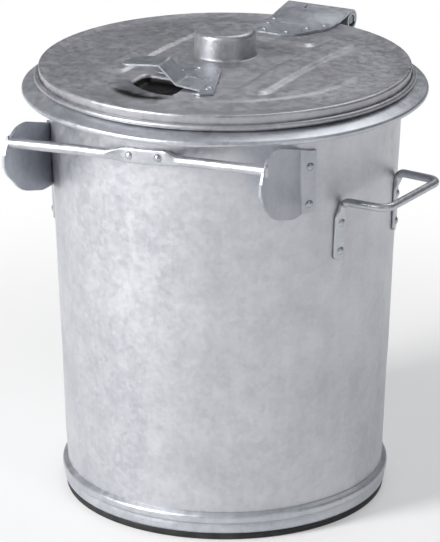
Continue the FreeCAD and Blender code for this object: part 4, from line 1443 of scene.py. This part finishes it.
# ---- studio ----------------------------------------------------------------------------------
@dataclass(frozen=True)
class Camera:
    """Camera at the photograph's viewing angle."""

    distance: float = 3153.6
    height: float = 1344.2
    azimuth: float = 28.5
    pitch: float = 19.59
    shift_right: float = -5.0
    lens: float = 221.7

    def build(self) -> bpy.types.Object:
        """Makes the scene's camera.

        Returns:
            The camera.
        """
        a = math.radians(self.azimuth)
        data = bpy.data.cameras.new("camera")
        data.lens = self.lens
        data.sensor_width = data.sensor_height = 36.0
        data.sensor_fit = "VERTICAL"
        data.clip_end = 20.0
        made = bpy.data.objects.new("camera", data)
        right = Vector((math.cos(a), math.sin(a), 0.0))
        spot = Vector((self.distance * math.sin(a), -self.distance * math.cos(a), self.height))
        made.location = (spot + right * self.shift_right) * MM
        made.rotation_euler = Euler((math.radians(90.0 - self.pitch), 0.0, a))
        bpy.context.collection.objects.link(made)
        bpy.context.scene.camera = made
        return made


@dataclass(frozen=True)
class Softbox:
    """One area lamp that looks at the bin."""

    name: str
    azimuth: float
    elevation: float
    distance: float
    size: tuple[float, float]
    power: float
    tint: tuple[float, float, float] = (1.0, 1.0, 1.0)

    def build(self) -> None:
        """Makes the lamp."""
        data = bpy.data.lights.new(self.name, "AREA")
        data.shape = "RECTANGLE"
        data.size, data.size_y = self.size
        data.energy = self.power
        data.color = self.tint
        made = bpy.data.objects.new(self.name, data)
        a, e = math.radians(self.azimuth), math.radians(self.elevation)
        target = Vector((0.0, 0.0, 0.25))
        away = Vector((math.sin(a) * math.cos(e), -math.cos(a) * math.cos(e), math.sin(e)))
        made.location = target + away * self.distance
        made.rotation_euler = away.to_track_quat("Z", "Y").to_euler()
        bpy.context.collection.objects.link(made)


class Studio:
    """Floor, white surroundings, lamps and camera."""

    lamps = (
        Softbox("key_left", -30.0, 26.0, 2.4, (0.6, 1.7), 70.0, (1.0, 0.995, 0.99)),
        Softbox("fill_right", 64.0, 22.0, 2.6, (0.5, 1.6), 6.0, (0.96, 0.98, 1.0)),
        Softbox("top", 170.0, 58.0, 2.2, (1.4, 1.0), 13.0),
    )

    def __init__(self, maker: MeshMaker) -> None:
        """Keeps the mesh maker.

        Args:
            maker: Maker of the meshes.
        """
        self.maker = maker

    def build(self) -> None:
        """Makes the whole studio."""
        self._world()
        self._floor()
        for lamp in self.lamps:
            lamp.build()
        Camera().build()
        scene = bpy.context.scene
        scene.view_settings.view_transform = "Standard"

    def _world(self) -> None:
        """Makes the room: dim light that grows brighter upwards."""
        world = bpy.data.worlds.new("studio")
        bpy.context.scene.world = world
        world.use_nodes = True
        g = Graph(world.node_tree)
        where = g.node("ShaderNodeTexCoord", output="Generated")
        up = g.node("ShaderNodeSeparateXYZ", None, {0: where}, 2)
        room = g.tint((0.09, 0.093, 0.10), (0.30, 0.305, 0.32), up.ramp(-0.1, 0.95))
        shader = g.node("ShaderNodeBackground", None, {"Color": room, "Strength": 1.0})
        end = g.tree.nodes.new("ShaderNodeOutputWorld")
        g.tree.links.new(shader.socket, end.inputs["Surface"])

    def _floor(self) -> None:
        """Makes the floor, a flat disc that looks white and keeps the bin's shadow."""
        material = bpy.data.materials.new("floor_white")
        material.use_nodes = True
        g = Graph(material.node_tree)
        where = g.node("ShaderNodeTexCoord", output="Object")
        colour = g.tint((0.86, 0.86, 0.86), (0.89, 0.89, 0.89), g.noise(where, 3.0))
        matt = g.node("ShaderNodeBsdfPrincipled", None, {"Base Color": colour, "Roughness": 0.9})
        white = g.node("ShaderNodeEmission", None, {"Color": (1.0, 1.0, 1.0, 1.0), "Strength": 1.0})
        # the floor looks white from afar, and keeps a share of its own shade close to the bin
        rays = [g.node("ShaderNodeLightPath", output=name)
                for name in ("Is Camera Ray", "Is Glossy Ray", "Is Transmission Ray")]
        seen = g.node("ShaderNodeMath", {"operation": "MAXIMUM"}, {0: rays[0], 1: rays[1]})
        seen = g.node("ShaderNodeMath", {"operation": "MAXIMUM"}, {0: seen, 1: rays[2]})
        away = g.node("ShaderNodeVectorMath", {"operation": "LENGTH"}, {0: where}, "Value")
        share = away.ramp(0.30, 0.95, 0.30, 1.0) * seen
        shader = g.node("ShaderNodeMixShader", None, {0: share, 1: matt, 2: white})
        output_of(g, shader)
        radii = np.array([0.0, 200.0, 900.0, 4000.0, 9000.0])
        profile = np.stack([radii, np.full(5, -0.4)], 1)
        under = np.stack([radii[::-1], np.full(5, -6.0)], 1)
        shell = self.maker.revolve(np.vstack([profile, under]), 96)
        floor = self.maker.build("floor", [shell])
        floor.data.materials.append(material)


def paint_frame(frame: dict[str, Any], finishes: dict[str, bpy.types.Material]) -> None:
    """Gives the CAD nodes their materials.

    Args:
        frame: What the frame's load returned.
        finishes: Materials by slot.
    """
    slots = {part["node"]: part["material_slot"] for part in frame["record"]["subparts"]}
    for name, node in frame["nodes"].items():
        node.data.materials.clear()
        node.data.materials.append(finishes[slots[name]])


def make_finishes() -> dict[str, bpy.types.Material]:
    """Makes all materials.

    Returns:
        Materials by slot of the record.
    """
    rust = (0.172, 0.060, 0.437, 0.012)
    # painted shade in the lid's finger well: centre, radius and depth range
    well_shade = (-0.014, -0.098, 0.055, 0.4418, 0.4400)
    recipes = {
        # the body gets painted shade at its top, under the collar
        "galvanized_body": Galvanized("zinc_body", (0.68, 0.69, 0.72), (0.40, 0.41, 0.45),
                                      painted_shade_bands=((0.445, 0.405),)),
        "galvanized_hoop": Galvanized("zinc_hoop", (0.64, 0.66, 0.69), (0.36, 0.38, 0.42), 0.44),
        "galvanized_lid": Galvanized("zinc_lid", (0.56, 0.56, 0.59), (0.28, 0.28, 0.31), 0.44,
                                     wear=Wear.HEAVY, stain=rust, hollow=well_shade),
        "galvanized_fitting": Galvanized("zinc_fitting", (0.55, 0.57, 0.61), (0.32, 0.34, 0.38), 0.45,
                                         cloud=0.04),
        "galvanized_rod": Galvanized("zinc_rod", (0.62, 0.64, 0.67), (0.38, 0.40, 0.43), 0.40, cloud=0.03),
        "galvanized_grip": Galvanized("zinc_grip", (0.46, 0.48, 0.51), (0.26, 0.28, 0.31), 0.42, cloud=0.03),
        "galvanized_rivet": Galvanized("zinc_rivet", (0.55, 0.57, 0.60), (0.33, 0.35, 0.38), 0.36, cloud=0.02,
                                       wear=Wear.LIGHT),
        "steel_wire": Galvanized("steel_wire", (0.42, 0.43, 0.44), (0.20, 0.20, 0.21), 0.42, cloud=0.02),
    }
    finishes = {slot: recipe.build() for slot, recipe in recipes.items()}
    finishes["black_rubber"] = Rubber("black_rubber").build()
    return finishes


def main() -> None:
    """Builds the visual model and its studio."""
    logging.basicConfig(level=logging.INFO, format="%(message)s")
    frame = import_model()
    finishes = make_finishes()
    paint_frame(frame, finishes)
    maker = MeshMaker()
    Body(maker, finishes).build()
    Lid(maker, finishes).build()
    LidGrip(maker, finishes).build()
    bar = FrontBar(maker, finishes)
    bar.build()
    Ear(maker, finishes, -1, "ear_plate_left", "bar_ear_left", bar=bar).build()
    Ear(maker, finishes, 1, "ear_plate_right", "bar_ear_right", bar=bar).build()
    SideHandle(maker, finishes, -1, "handle_rod_left", "handle_left").build()
    SideHandle(maker, finishes, 1, "handle_rod_right", "handle_right").build()
    HingeLeaf(maker, finishes).build()
    Studio(maker).build()


if __name__ == "__main__":
    main()
